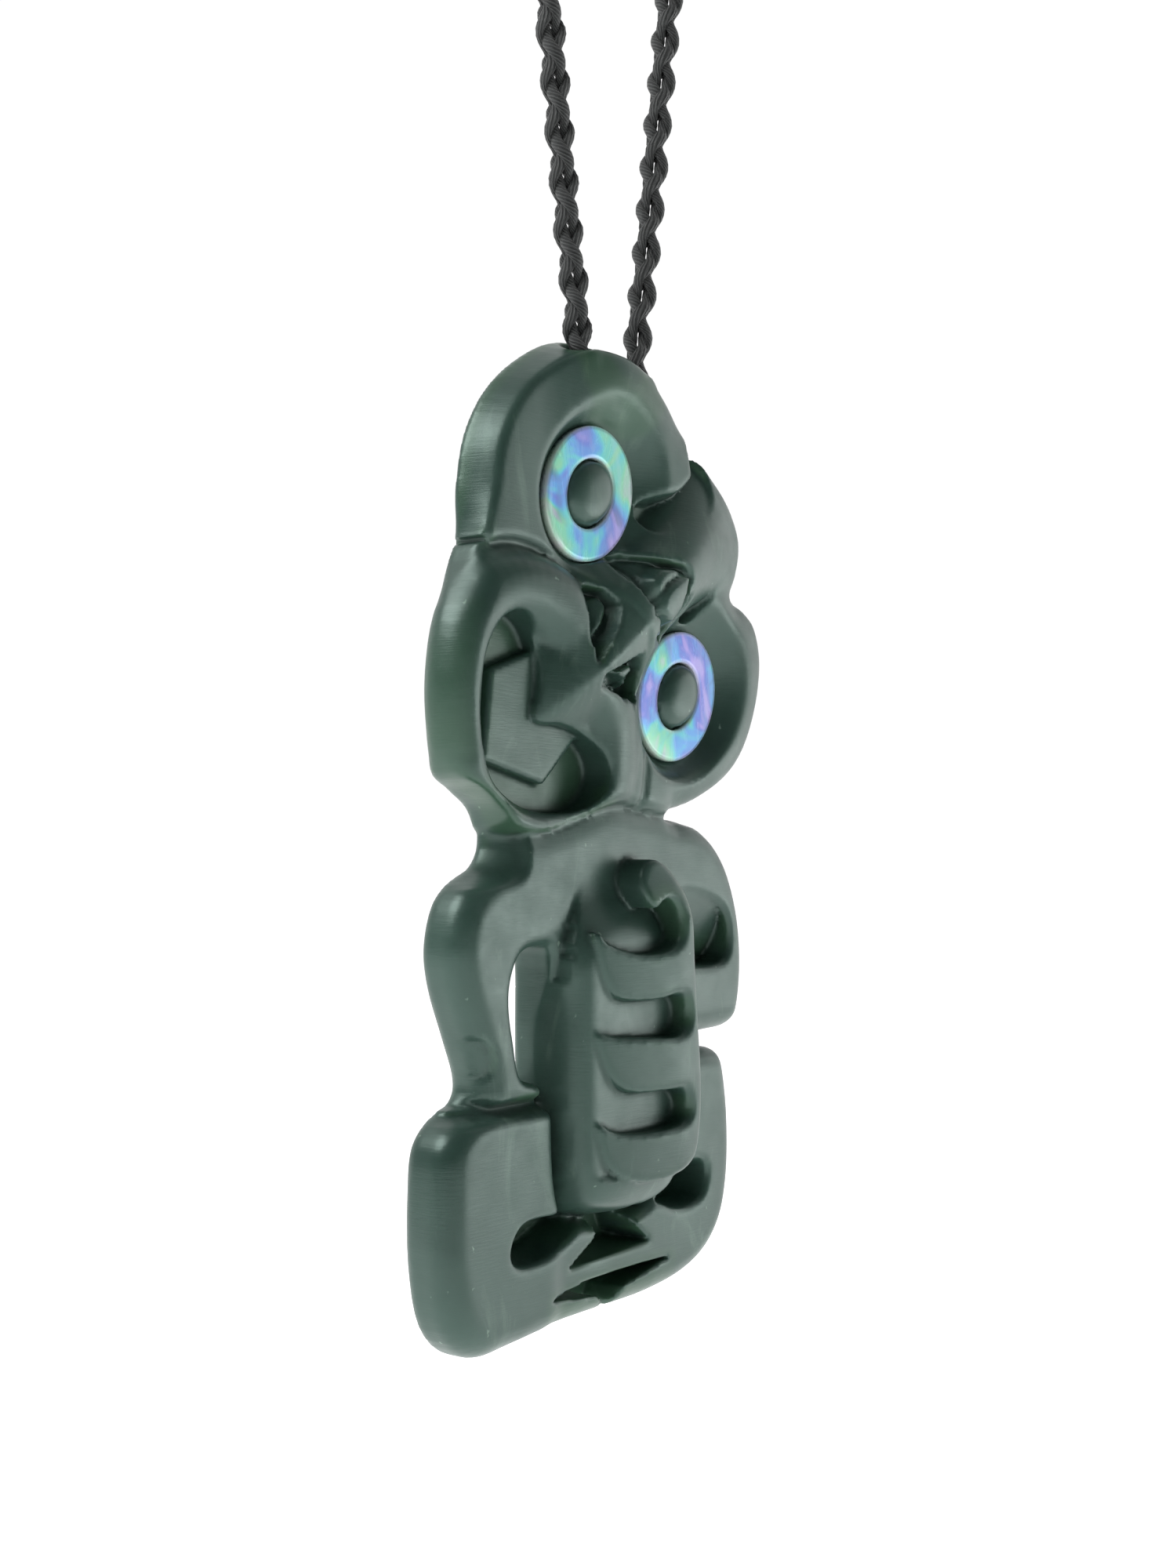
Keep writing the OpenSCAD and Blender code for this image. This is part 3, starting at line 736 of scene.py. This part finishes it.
# Each hollow's outline, curve steps a row, rounding, slope of its walls and floor; the first goes through
HOLLOWS = (
    (LEFT_ARM, 4, 1.1, 0.0, -9.0), (LEFT_LEG, 4, 0.6, 0.12, -1.4), (RIGHT_LEG, 4, 0.6, 0.12, -1.4),
    (BETWEEN_LEGS, 1, 0.15, 0.12, -1.4), (BETWEEN_FEET, 1, 0.15, 0.0, -1.4))
RIGHT_ARM = (
    (10.0, -13.0), (14.5, -13.4), (20.4, -13.2), (22.0, -11.0), (20.6, -7.4), (14.5, -5.6), (11.0, -6.6))
WRIST_DIMPLE = ((-25.5, -18.5), (-20, -18.5), (-18.5, -20), (-19, -22.5), (-25, -22.5))
# Saw cut at the crown's side, and the corners that close the chin's edge round the head: x, z
SLIT = ((-24.0, 27.4), (-18.4, 28.3))
ROUND_HEAD = ((60, 2), (60, 90), (-60, 90), (-60, 6))


@dataclass
class CarvedStone:
    """The flat carved figure, made as one solid from heights above its middle plane and flat outlines."""

    face: Face = field(default_factory=Face)
    pitch: float = 0.38
    low: tuple[float, float, float] = (-27.0, -10.0, -49.2)
    high: tuple[float, float, float] = (30.8, 3.4, 52.4)
    back: float = 2.4
    rim: float = 1.9
    brow: float = 2.0
    limb: float = 3.3
    belly: float = 7.4
    palm: float = 9.0
    seat: float = 1.0
    pit: float = 0.2
    tongue: float = 1.6
    dome: float = 3.6
    seat_half: tuple[float, float] = (8.02, 6.57)
    pupil_half: tuple[float, float] = (4.1, 3.15)
    hole_at: tuple[float, float, float] = (2.65, -0.6, 49.5)
    hole_ring: float = 5.05
    hole_radius: float = 1.75
    # Belly: middle and half width in x, lowest place in z, height of its neck end and of its sides
    belly_bar: tuple[float, float, float] = (0.2, 9.8, -37.9)
    belly_ends: tuple[float, float] = (3.0, 2.2)
    # Eye socket: half sizes, floor, steepness of its wall and how much of that the upper side loses
    socket_half: tuple[float, float] = (8.3, 6.9)
    socket: tuple[float, float, float] = (1.4, 9.0, 3.0)
    # Cove at a brow's tip: floor, steepness of its wall and half width
    cove_size: tuple[float, float, float] = (0.8, 2.6, 1.0)
    # Depth or rise of each cut of the face, and the width of its wall
    nostril: tuple[float, float] = (1.6, 0.5)
    leaf: tuple[float, float] = (2.4, 0.5)
    heart: tuple[float, float] = (1.5, 0.4)
    engraved: tuple[float, float] = (0.65, 0.34)
    # Groove in the lips: its distance from their middle line, and its half width
    lip_groove: tuple[float, float] = (4.4, 0.5)
    # Swell over the cord hole: height of its axis, radius
    swell: tuple[float, float] = (0.6, 2.35)
    # Drop and width of the chin's rounded edge
    chin_edge: tuple[float, float] = (1.2, 1.5)
    slit_half: float = 0.32

    def body_height(self, x: Array, z: Array, inset: Array, below_chin: Array) -> Array:
        """Height of the limbs and the belly.

        Args:
            x: Places across.
            z: Places up.
            inset: Distance inside the outline.
            below_chin: Distance below the chin's edge.

        Returns:
            The limbs' level, with the belly as a rounded bar that rises down to a full foot, grooves
            along the belly and at the wrist, a shallow dimple at the wrist, a sloping facet beside the
            neck and a dip under the chin.
        """
        # The left leg stands a little higher than the arm above it
        level = self.limb + 0.35 * ramp(-z, 25.0, 27.0) * ramp(-x, 8.0, 11.0)
        edge = outline_distance(curve_through(BELLY, 5), x, z)
        # The belly rises over 10 mm below the neck and has a quarter round foot 7 mm long
        (middle, half, lowest), (start, sides) = self.belly_bar, self.belly_ends
        top = start + (self.belly - start) * ramp(-z, 3.0, 13.0)
        foot = bulge(1 - np.clip((z - lowest) / 7.0, 0, 1), 2)
        bar = sides + (top - sides) * bulge(np.abs(x - middle) / half, 2.3) * foot
        # A flat bed for the hand
        bed = smooth_min(bar, 6.0 + 1.4 * ramp(-z, 32.5, 34.0), 0.5)
        bar = np.where((x > -7.6) & (z > -34.0), bed, bar)
        level = np.where(edge < 0, smooth_max(level, bar, 0.5), level)
        # Groove along the belly's side, shallow on the right, then the wrist's crease and dimple
        share = ramp(-z, 13.0, 18.0) * np.where((x < 0) | (z < -33), 1.0, 0.3)
        level = level - (1.5 + 1.3 * ramp(-z, 25.0, 29.0)) * groove(edge, 0.8) * share
        level = level - 1.7 * groove(z + 25.3, 0.7) * ramp(-x, 8.6, 9.6) * ramp(x, -25.6, -24.6)
        dimple = outline_distance(curve_through(WRIST_DIMPLE, 4), x, z)
        level = level - 0.5 * ramp(-dimple, 0.0, 0.35)
        # Facet that slopes down to the outline beside the neck
        near_neck = ramp(-x, 13.2, 14.0) * ramp(z, -5.0, -2.5)
        facet = smooth_min(level, 0.4 + 0.95 * inset, 0.15)
        level = level * (1 - near_neck) + facet * near_neck
        return level - 0.5 * groove(below_chin, 1.3)

    def face_height(self, x: Array, z: Array, inset: Array, above_chin: Array) -> Array:
        """Height of the face.

        Args:
            x: Places across.
            z: Places up.
            inset: Distance inside the outline.
            above_chin: Distance above the chin's edge.

        Returns:
            A rim that rises to the brows, less the eye sockets and the coves beside the brow tips,
            with the nose ridge, the roof shaped upper lip and the ring of the lips on it, the cuts and
            engraved lines of the face in it, and a low swell over the cord hole.
        """
        u, v = self.face.read(x, z)
        # The rim rises over 5 mm, fully at the brows and little at the mouth
        level = self.rim + self.brow * (0.15 + 0.85 * ramp(x, -11.0, 3.0)) * bulge(1 - inset / 5.0, 2)
        floor, steepest, less = self.socket
        cove_floor, cove_steep, cove_half = self.cove_size
        cove = curve_through(BROW_COVE, 4, closed=False)
        for side in Side:
            q = self.face.eye_share(u, v, side, self.socket_half)
            steep = steepest - less * np.clip((u - self.face.eye_u) / self.socket_half[0], 0, 1)
            level = smooth_min(level, floor + np.clip(q - 1, 0, None) * steep, 0.8)
            away = line_distance(cove * (1, side.value), u, v)
            level = smooth_min(level, cove_floor + cove_steep * np.clip(away - cove_half, 0, None), 0.5)
        # Nose ridge, whose middle, half width and height are read along u
        bridge = curve_through(RIDGE, 8, closed=False)
        middle, wide, high = (np.interp(u, bridge[:, 0], bridge[:, k]) for k in (1, 2, 3))
        rise = high * bulge(np.abs(v - middle) / wide, 1.9) * ramp(u, -8.0, -5.0)
        level = smooth_max(level, rise, 0.9)
        # Groove in the lips, deeper on the upper eye's side, then the roof and the ring of the lips
        half = np.array(LIP)
        lip = curve_through(np.vstack([half, half[-2:0:-1] * (1, -1, 1, 1)]), 4)
        ring = groove(np.abs(outline_distance(lip[:, :2], u, v) - self.lip_groove[0]), self.lip_groove[1])
        level = level - (0.35 + 0.35 * ramp(v, -2.0, 2.0)) * ring * ramp(np.abs(v), 3.5, 4.5)
        level = smooth_max(level, ridge_height(curve_through(ROOF, 4, closed=False), u, v, 1.25), 0.5)
        level = smooth_max(level, ridge_height(np.vstack([lip, lip[:1]]), u, v, 2.2), 0.7)
        cuts = ((NOSTRIL, -1, self.nostril), (CHEEK_LEAF, -1, self.leaf), (LEAF_HEART, 1, self.heart))
        for side in Side:
            for rows, sign, (depth, wall) in cuts:
                away = outline_distance(np.array(rows) * (1, side.value), u, v)
                level = level + sign * depth * inside(away, wall)
        depth, half_width = self.engraved
        for rows in ENGRAVED:
            away = line_distance(curve_through(rows, 4, closed=False), u, v)
            level = level - depth * groove(away, half_width)
        axis, radius = self.swell
        bore = self.bore_line(x, z)
        swell = axis + np.sqrt(np.clip(radius**2 - bore**2, 0, None))
        level = np.where(bore < radius - 0.05, smooth_max(level, swell, 0.4), level)
        drop, wide = self.chin_edge
        return level - drop * (1 - bulge(1 - np.clip(above_chin, 0, wide) / wide, 2))

    def bore_line(self, x: Array, z: Array) -> Array:
        """Distance from the flat middle line of the cord hole, a half circle with straight ends."""
        dx, dz = x - self.hole_at[0], z - self.hole_at[2]
        return np.abs(np.where(dz < 0, np.hypot(dx, dz), np.abs(dx) - 0.1 * dz) - self.hole_ring)

    def solid(self) -> tuple[Array, Array]:
        """Samples the whole figure on a box grid.

        Returns:
            The samples, negative inside, and the place of the first one. Each cutter is an outline
            with a floor, and each added form an outline with a top. A height above the face or body
            is divided by its slope's length, which makes it a distance. The wall leans at the
            crown's side, and the edges are rounder at the cheek and the foot.
        """
        spans = [np.arange(a, b, self.pitch) for a, b in zip(self.low, self.high)]
        x, z = np.meshgrid(spans[0], spans[2], indexing="ij")
        u, v = self.face.read(x, z)
        head_edge = self.face.place(HEAD_EDGE)
        edge = outline_distance(curve_through(np.vstack([head_edge, BODY_EDGE]), 4), x, z)
        inset = np.clip(-edge, 0, None)
        chin = -outline_distance(np.vstack([curve_through(CHIN, 4, closed=False), ROUND_HEAD]), x, z)
        head = ramp(chin, -0.5, 0.5)
        level = self.body_height(x, z, inset, np.clip(-chin, 0, None)) * (1 - head)
        level = level + self.face_height(x, z, inset, np.clip(chin, 0, None)) * head
        # Slope's length, held at a steepness of 3 to 1
        slope = np.gradient(level, self.pitch)
        lean = np.sqrt(1 + np.clip(slope[0] ** 2 + slope[1] ** 2, 0, 9.0))
        # Shares of the crown's side, the left cheek and the left foot
        flare = ramp(z, 28.5, 34.0) * (1 - ramp(x, 0.0, 9.0))
        cheek = ramp(-x, 12.0, 18.0) * ramp(z, 4.0, 8.0) * (1 - ramp(z, 22.0, 27.0))
        foot = ramp(-x, 14.0, 20.0) * ramp(-z, 38.0, 44.0)

        def flat(a: Array) -> Array:
            """Spreads a flat map through the depth."""
            return a[:, None, :].astype(np.float32)

        h = (-spans[1])[None, :, None].astype(np.float32)
        # The crown's wall leans, 0.8 mm in at the front and 0.7 mm out at the back
        depth = np.clip((self.rim - h) / (self.rim + self.back), 0, 1)
        wall = flat(edge) + flat(flare) * (0.8 - 1.5 * depth)
        upper = ramp(chin, -2.0, 1.5)
        front_edge = (0.6 + 2.2 * cheek) * upper + (2.6 + 0.3 * foot) * (1 - upper)
        body = round_max((h - flat(level)) / flat(lean), wall, flat(front_edge))
        # Hand, whose top rises from the fingertips to the palm and sinks towards the chin
        hand = outline_distance(curve_through(HAND, 4), x, z)
        top = smooth_min(6.3 + (x + 6.8) * 0.27, self.palm - 0.6 * ramp(x, 4.0, 10.0), 2.4)
        top = np.maximum(top, 6.0) - 1.6 * ramp(z, -9.0, -1.0)
        body = np.minimum(body, round_max(flat(hand), h - flat(top), flat(0.5 + 0.9 * ramp(x, 2.0, 8.0))))

        # Mouth with its tongue, eye seats with their pupils, and the rounded back edge
        mouth = outline_distance(curve_through(MOUTH, 5), u, v)
        body = round_max(body, -np.maximum(flat(mouth), self.pit - h), 0.22)
        tongue = outline_distance(np.array(TONGUE), u, v)
        body = np.minimum(body, round_max(flat(tongue), h - self.tongue, 0.12))
        for side in Side:
            q = self.face.eye_share(u, v, side, self.seat_half)
            body = np.maximum(body, -np.maximum(flat((q - 1) * 7.2), self.seat - h))
            q = self.face.eye_share(u, v, side, self.pupil_half)
            dome = self.seat + (self.dome - 0.5 - self.seat) * bulge(q, 2.8)
            body = np.minimum(body, np.maximum(flat((q - 1) * 3.5), h - flat(dome)))
        body = round_max(body, -h - self.back, flat(0.8 + 0.8 * (1 - head) + 1.9 * cheek))
        # Hollow in the bent right arm, whose floor sinks downwards, then those that have a flat floor
        arm = outline_distance(curve_through(RIGHT_ARM, 4), x, z)
        floor = np.clip(self.limb - 0.5 * (-5.6 - z), -0.6, self.limb)
        body = round_max(body, -np.maximum(flat(arm), flat(floor) - h), 0.9)
        for outline, steps, rounding, taper, floor in HOLLOWS:
            hole = outline_distance(curve_through(outline, steps), x, z)
            body = round_max(body, -np.maximum(flat(hole) + taper * (self.limb - h), floor - h), rounding)
        bore = np.hypot(flat(self.bore_line(x, z)), h + self.hole_at[1]) - self.hole_radius
        body = round_max(body, -bore, 0.2)
        body = np.maximum(body, flat(self.slit_half - line_distance(np.array(SLIT), x, z)))
        return body.astype(np.float32), np.array([s[0] for s in spans])

    def build(self) -> bpy.types.Object:
        """Makes the stone's surface and its named marks.

        Returns:
            The piece. Its points are moved onto the surface along the solid's slope, and hollow and thin mark
            cut corners and thin edges, where the stone's material paints shade and a green glow of light
            through the stone.
        """
        values, origin = self.solid()
        points, faces = surface_net(values, origin, self.pitch)
        step = np.eye(3) * self.pitch * 0.5
        for _ in range(3):
            here = read_grid(values, origin, self.pitch, points)
            pairs = [[read_grid(values, origin, self.pitch, points + s * k) for k in (1, -1)] for s in step]
            slope = np.stack([a - b for a, b in pairs], axis=1) / self.pitch
            move = here[:, None] * slope / np.maximum((slope**2).sum(axis=1), 0.25)[:, None]
            points = points - np.clip(move, -0.3 * self.pitch, 0.3 * self.pitch)
        # Hollow where most of what lies 0.9 mm around is stone, thin where air is near 3 mm below
        around = np.eye(3) * 0.9
        mean = sum(read_grid(values, origin, self.pitch, points + s * k) for s in around for k in (1, -1)) / 6
        hollow = np.clip(-mean / 0.35, 0, 1)
        normal = slope / np.maximum(np.linalg.norm(slope, axis=1), 1e-6)[:, None]
        deep = read_grid(values, origin, self.pitch, points - normal * 3.0)
        thin = np.clip((deep + 2.2) / 2.2, 0, 1)
        return make_piece("stone_skin", points + STONE_AT, faces, marks={"hollow": hollow, "thin": thin})


@dataclass
class EyeRing:
    """A flat oval ring of shell that lies on its seat round a pupil."""

    side: Side
    node: str
    face: Face = field(default_factory=Face)
    outer: tuple[float, float] = (7.9, 6.45)
    inner: tuple[float, float] = (4.22, 3.27)
    foot: float = 1.12
    thick: float = 0.9
    bevel: float = 0.12
    swell: float = 0.05
    # Cut edge: where its dull band starts and how wide it fades, as shares of the ring's width
    rim: tuple[float, float] = (0.44, 0.05)
    around: int = 144

    def build(self) -> bpy.types.Object:
        """Makes the ring.

        Returns:
            The piece: a bevelled strip section carried round the oval. A section point holds its
            share from the inner to the outer oval and its height.
        """
        low, high, b = self.foot, self.foot + self.thick, self.bevel
        wide = self.outer[0] - self.inner[0]
        t = b / wide
        crown = [(s, high + self.swell * (1 - (2 * s - 1) ** 2)) for s in np.linspace(t, 1 - t, 9)]
        section = np.array([(0, low), (0, high - b), *crown, (1, high - b), (1, low), (0.5, low)])
        turn = np.linspace(0, 2 * math.pi, self.around, endpoint=False)[:, None]
        half = [self.inner[k] + (self.outer[k] - self.inner[k]) * section[None, :, 0] for k in (0, 1)]
        u = self.face.eye_u + half[0] * np.cos(turn)
        v = self.side.value * self.face.eye_v + half[1] * np.sin(turn)
        flat = self.face.place(np.stack([u.ravel(), v.ravel()], axis=1))
        high_at = np.broadcast_to(section[None, :, 1], u.shape).ravel()
        points = np.stack([flat[:, 0], -high_at, flat[:, 1]], axis=1) + STONE_AT
        share = np.broadcast_to(section[None, :, 0], u.shape).ravel()
        edge = np.clip((np.abs(share - 0.5) - self.rim[0]) / self.rim[1], 0, 1)
        faces = grid_faces(self.around, len(section), loop_rings=True)
        return make_piece(self.node + "_shell", points, faces, marks={"edge": edge})


# ---- the plaited cord --------------------------------------------------------------------------

# Route of one side of the loop from the join down to the head: x, z
STRAND = (
    (2.0, 2.5), (7.0, 2.4), (13.0, 0.6), (20.0, -2.4), (28.0, -7.8), (35.0, -15.0), (40.0, -23.4),
    (43.0, -32.4), (44.0, -41.6), (43.4, -50.0), (38.9, -80.0), (34.3, -110.0), (29.7, -140.0),
    (25.1, -170.0), (20.4, -200.0), (15.6, -230.0), (10.8, -260.0), (6.9, -286.0), (5.65, -292.5))


@dataclass
class PlaitedCord:
    """Four waxed strands in a round plait, once round the loop and through the stone's curved hole."""

    hole_ring: float = 5.05
    hole_z: float = -298.5
    period: float = 9.8
    axis_radius: float = 0.80
    swing: float = 0.36
    half_thick: float = 0.43
    half_wide: float = 0.66
    facing: float = -53.5
    # Millimetres of the flat map for each radian round a strand
    map_radius: float = 0.55
    step: float = 0.42
    sides: int = 10

    def route(self) -> Array:
        """Middle line of the cord.

        Returns:
            Places x, z at even steps from the join down the right side, round the half circle of the
            hole and up the left side.
        """
        right = curve_through(STRAND, 12, closed=False)
        turn = np.radians(np.arange(0, 91, 5.0))
        arc = np.stack([self.hole_ring * np.cos(turn), self.hole_z - self.hole_ring * np.sin(turn)], axis=1)
        half = np.vstack([right, arc])
        whole = np.vstack([half, (half * (-1, 1))[-2::-1]])
        gone = np.concatenate([[0], np.cumsum(np.linalg.norm(np.diff(whole, axis=0), axis=1))])
        even = np.linspace(0, gone[-1], int(gone[-1] / self.step))
        return np.stack([np.interp(even, gone, whole[:, k]) for k in (0, 1)], axis=1)

    def strand(self, route: Array, number: int) -> tuple[Array, Array]:
        """One strand of the plait.

        Args:
            route: Middle line of the cord.
            number: 0 and 1 wind one way, 2 and 3 the other.

        Returns:
            Points and their flat map in millimetres. The strand turns about the cord's line once a
            period, at radius R + A cos(2 a) or R - A cos(2 a) for the two ways, with a its angle, so
            that each way passes over the other in turn. Its section is a flattened oval.
        """
        s = np.concatenate([[0], np.cumsum(np.linalg.norm(np.diff(route, axis=0), axis=1))])
        way = 1 if number < 2 else -1
        a = 2 * math.pi * s / self.period
        angle = way * a + math.pi * (number % 2) + math.radians(self.facing)
        radius = self.axis_radius + way * self.swing * np.cos(2 * a)
        ahead = np.gradient(route, axis=0)
        ahead /= np.linalg.norm(ahead, axis=1)[:, None]
        across = np.stack([-ahead[:, 1], 0 * s, ahead[:, 0]], axis=1)
        middle = np.stack([route[:, 0], 0 * s, route[:, 1]], axis=1)
        out = np.cos(angle)[:, None] * across + np.sin(angle)[:, None] * np.array([0, 1.0, 0])
        line = middle + radius[:, None] * out
        run = np.gradient(line, axis=0)
        run /= np.linalg.norm(run, axis=1)[:, None]
        out = out - (out * run).sum(axis=1)[:, None] * run
        out /= np.linalg.norm(out, axis=1)[:, None]
        wide = np.cross(run, out)
        turn = np.linspace(0, 2 * math.pi, self.sides, endpoint=False) + math.pi
        points = (
            line[:, None]
            + self.half_thick * np.cos(turn)[None, :, None] * out[:, None]
            + self.half_wide * np.sin(turn)[None, :, None] * wide[:, None])
        flat = np.stack(np.broadcast_arrays(s[:, None], (turn - math.pi)[None, :] * self.map_radius), axis=-1)
        return points.reshape(-1, 3), flat.reshape(-1, 2)

    def build(self) -> bpy.types.Object:
        """Makes the four strands.

        Returns:
            The whole plait as one piece, each strand closed at its ends.
        """
        route = self.route()
        points, flats, faces, caps = [], [], [], []
        for number in range(4):
            p, f = self.strand(route, number)
            first = number * len(p)
            points.append(p)
            flats.append(f)
            faces.append(grid_faces(len(route), self.sides) + first)
            caps.append(first + np.arange(self.sides)[::-1])
            caps.append(first + len(p) - self.sides + np.arange(self.sides))
        ends = [c.tolist() for c in caps]
        return make_piece("plait", np.vstack(points), np.vstack(faces), ends, np.vstack(flats))


@dataclass
class WhippedJoin:
    """A whipping of waxed thread that binds both ends of the cord into one sleeve."""

    length: float = 12.0
    middle_z: float = 2.5
    outer: float = 2.5
    bore: float = 1.75
    thread: float = 0.8
    # Share of the thread that stands out in a turn's ridge, rounding of the ends, least wall
    proud: float = 0.32
    rounding: float = 0.7
    lip: float = 0.05
    map_radius: float = 2.4
    along: int = 180
    around: int = 48

    def build(self) -> bpy.types.Object:
        """Makes the whipping.

        Returns:
            The piece: a sleeve whose outside rises in one wound thread, a half circle section a turn,
            and whose ends turn in to the bore.
        """
        x = np.linspace(-self.length / 2, self.length / 2, self.along)
        turn = np.linspace(0, 2 * math.pi, self.around, endpoint=False)
        phase = (x[:, None] / self.thread + turn[None, :] / (2 * math.pi)) % 1
        ridge = np.sqrt(np.clip(1 - (2 * phase - 1) ** 2, 0, 1)) * self.thread * self.proud
        end = bulge(np.clip((np.abs(x) - self.length / 2 + self.rounding) / self.rounding, 0, 1), 2)[:, None]
        valley = self.outer - self.bore - self.lip - self.thread * self.proud
        wall = self.bore + self.lip + valley * end + ridge * end
        radius = np.vstack([wall, np.full((2, self.around), self.bore)])
        place = np.concatenate([x, [self.length / 2 - self.lip, -self.length / 2 + self.lip]])
        side, up = radius * np.sin(turn), self.middle_z + radius * np.cos(turn)
        points = np.stack(np.broadcast_arrays(place[:, None], side, up), axis=-1)
        flat = np.stack(np.broadcast_arrays(turn[None, :] * self.map_radius, place[:, None]), axis=-1)
        faces = grid_faces(len(place), self.around, loop_rings=True)[:, ::-1]
        return make_piece("join_whipping", points.reshape(-1, 3), faces, uv=flat.reshape(-1, 2))


# ---- camera, floor and light -------------------------------------------------------------------


@dataclass
class PhotoView:
    """The camera of the photograph, turned about the stone."""

    turn: float = 53.5
    rise: float = 2.0
    distance: float = 192.0
    height: float = -1.0
    focal_px: float = 2400.0
    long_side_px: float = 2000.0
    sensor: float = 36.0
    clip: tuple[float, float] = (0.005, 50.0)

    def build(self) -> None:
        """Makes the camera and sets it as the scene's."""
        yaw, tip = math.radians(self.turn), math.radians(self.rise)
        ahead = Vector((math.sin(yaw) * math.cos(tip), math.cos(yaw) * math.cos(tip), math.sin(tip)))
        right = Vector((math.cos(yaw), -math.sin(yaw), 0))
        away = Vector((-self.distance * math.sin(yaw), -self.distance * math.cos(yaw), self.height))
        place = away + Vector(STONE_AT)
        data = bpy.data.cameras.new("photo_camera")
        data.sensor_fit, data.sensor_width = "AUTO", self.sensor
        data.lens = self.focal_px / self.long_side_px * self.sensor
        data.clip_start, data.clip_end = self.clip
        made = bpy.data.objects.new("photo_camera", data)
        bpy.context.scene.collection.objects.link(made)
        turn = Matrix((right, right.cross(ahead), -ahead)).transposed()
        made.matrix_world = Matrix.Translation(place * MM) @ turn.to_4x4()
        bpy.context.scene.camera = made


@dataclass
class Studio:
    """A pale floor under the hanging pendant, and soft light all round it."""

    floor_z: float = -0.46
    floor_glow: float = 0.85
    bright_side: tuple[float, float, float] = (0.62, 0.78, 0.0)
    sky_span: tuple[float, float] = (-0.15, 0.72)
    sky_level: tuple[float, float] = (0.06, 1.02)
    aim: tuple[float, float, float] = (0.0, 0.0, -0.348)
    half_floor: float = 6.0
    # Softboxes: name, place and side in metres, watts
    boxes: tuple[tuple[str, tuple[float, float, float], float, float], ...] = (
        ("key", (-0.40, 0.20, 0.15), 0.40, 3.5), ("side", (0.55, -0.30, -0.30), 0.50, 0.9),
        ("low", (0.40, -0.42, -0.42), 0.25, 0.5))

    def softbox(self, name: str, place: Sequence[float], size: float, watts: float) -> None:
        """Adds a square area light that looks at the stone.

        Args:
            name: Name of the light.
            place: Where it stands, in metres.
            size: Side of the square, in metres.
            watts: Its power.
        """
        data = bpy.data.lights.new(name, "AREA")
        data.shape, data.size, data.energy = "SQUARE", size, watts
        made = bpy.data.objects.new(name, data)
        bpy.context.scene.collection.objects.link(made)
        made.location = place
        made.rotation_mode = "QUATERNION"
        made.rotation_quaternion = (Vector(self.aim) - Vector(place)).to_track_quat("-Z", "Y")

    def build(self) -> None:
        """Makes the floor, the sky and the lights.

        The sky's strength rises from sky_level's first to its second number as the direction's part
        along bright_side goes through sky_span. Seen straight on, it is white all round.
        """
        corners = self.half_floor * np.array([(-1, -1), (1, -1), (1, 1), (-1, 1)])
        points = np.column_stack([corners, np.full(4, self.floor_z)]) / MM
        floor = make_piece("floor", points, np.array([[0, 1, 2, 3]]))
        g = Graph("pale_floor")
        g.finish(
            Base_Color=(0.80, 0.80, 0.80, 1), Roughness=0.9, Specular_IOR_Level=0.1,
            Emission_Color=(1.0, 1.0, 1.0, 1), Emission_Strength=self.floor_glow)
        floor.data.materials.append(g.material)
        world = bpy.data.worlds.new("studio")
        world.use_nodes = True
        nodes, links = world.node_tree.nodes, world.node_tree.links
        sky = nodes["Background"]
        sky.inputs["Color"].default_value = (1.0, 1.0, 1.0, 1)
        ahead = nodes.new("ShaderNodeVectorMath")
        ahead.operation = "DOT_PRODUCT"
        ahead.inputs[1].default_value = self.bright_side
        links.new(nodes.new("ShaderNodeTexCoord").outputs["Generated"], ahead.inputs[0])
        share = nodes.new("ShaderNodeMapRange")
        spans = zip(("From Min", "From Max", "To Min", "To Max"), (*self.sky_span, *self.sky_level))
        for key, value in spans:
            share.inputs[key].default_value = value
        links.new(ahead.outputs["Value"], share.inputs["Value"])
        backdrop = nodes.new("ShaderNodeMix")
        backdrop.inputs["B"].default_value = self.sky_level[1]
        links.new(nodes.new("ShaderNodeLightPath").outputs["Is Camera Ray"], backdrop.inputs["Factor"])
        links.new(share.outputs[0], backdrop.inputs["A"])
        links.new(backdrop.outputs["Result"], sky.inputs["Strength"])
        bpy.context.scene.world = world
        bpy.context.scene.view_settings.view_transform = "Standard"
        for box in self.boxes:
            self.softbox(*box)


def dress(piece: bpy.types.Object, material: bpy.types.Material, slot: str, *nodes: str) -> None:
    """Gives a piece its material, puts it under the root body and hides the solids that it replaces.

    Args:
        piece: The new piece.
        material: Its finish.
        slot: Not used.
        *nodes: The solids that it replaces.
    """
    piece.data.materials.append(material)
    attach(piece, "root")
    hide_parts(*nodes)


def main() -> None:
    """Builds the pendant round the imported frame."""
    logging.basicConfig(level=logging.INFO, format="%(name)s: %(message)s")
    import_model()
    PhotoView().build()
    thread = WaxedThread().material()
    dress(PlaitedCord().build(), thread, "waxed_cord", "cord_left", "cord_right")
    dress(WhippedJoin().build(), thread, "waxed_cord", "cord_join")
    dress(CarvedStone().build(), Nephrite().material(), "nephrite", "carved_stone")
    shell = Paua().material()
    for side, node in ((Side.UPPER, "upper_eye_ring"), (Side.LOWER, "lower_eye_ring")):
        dress(EyeRing(side, node).build(), shell, "paua_shell", node)
    Studio().build()
    bpy.context.view_layer.update()


if __name__ == "__main__":
    main()
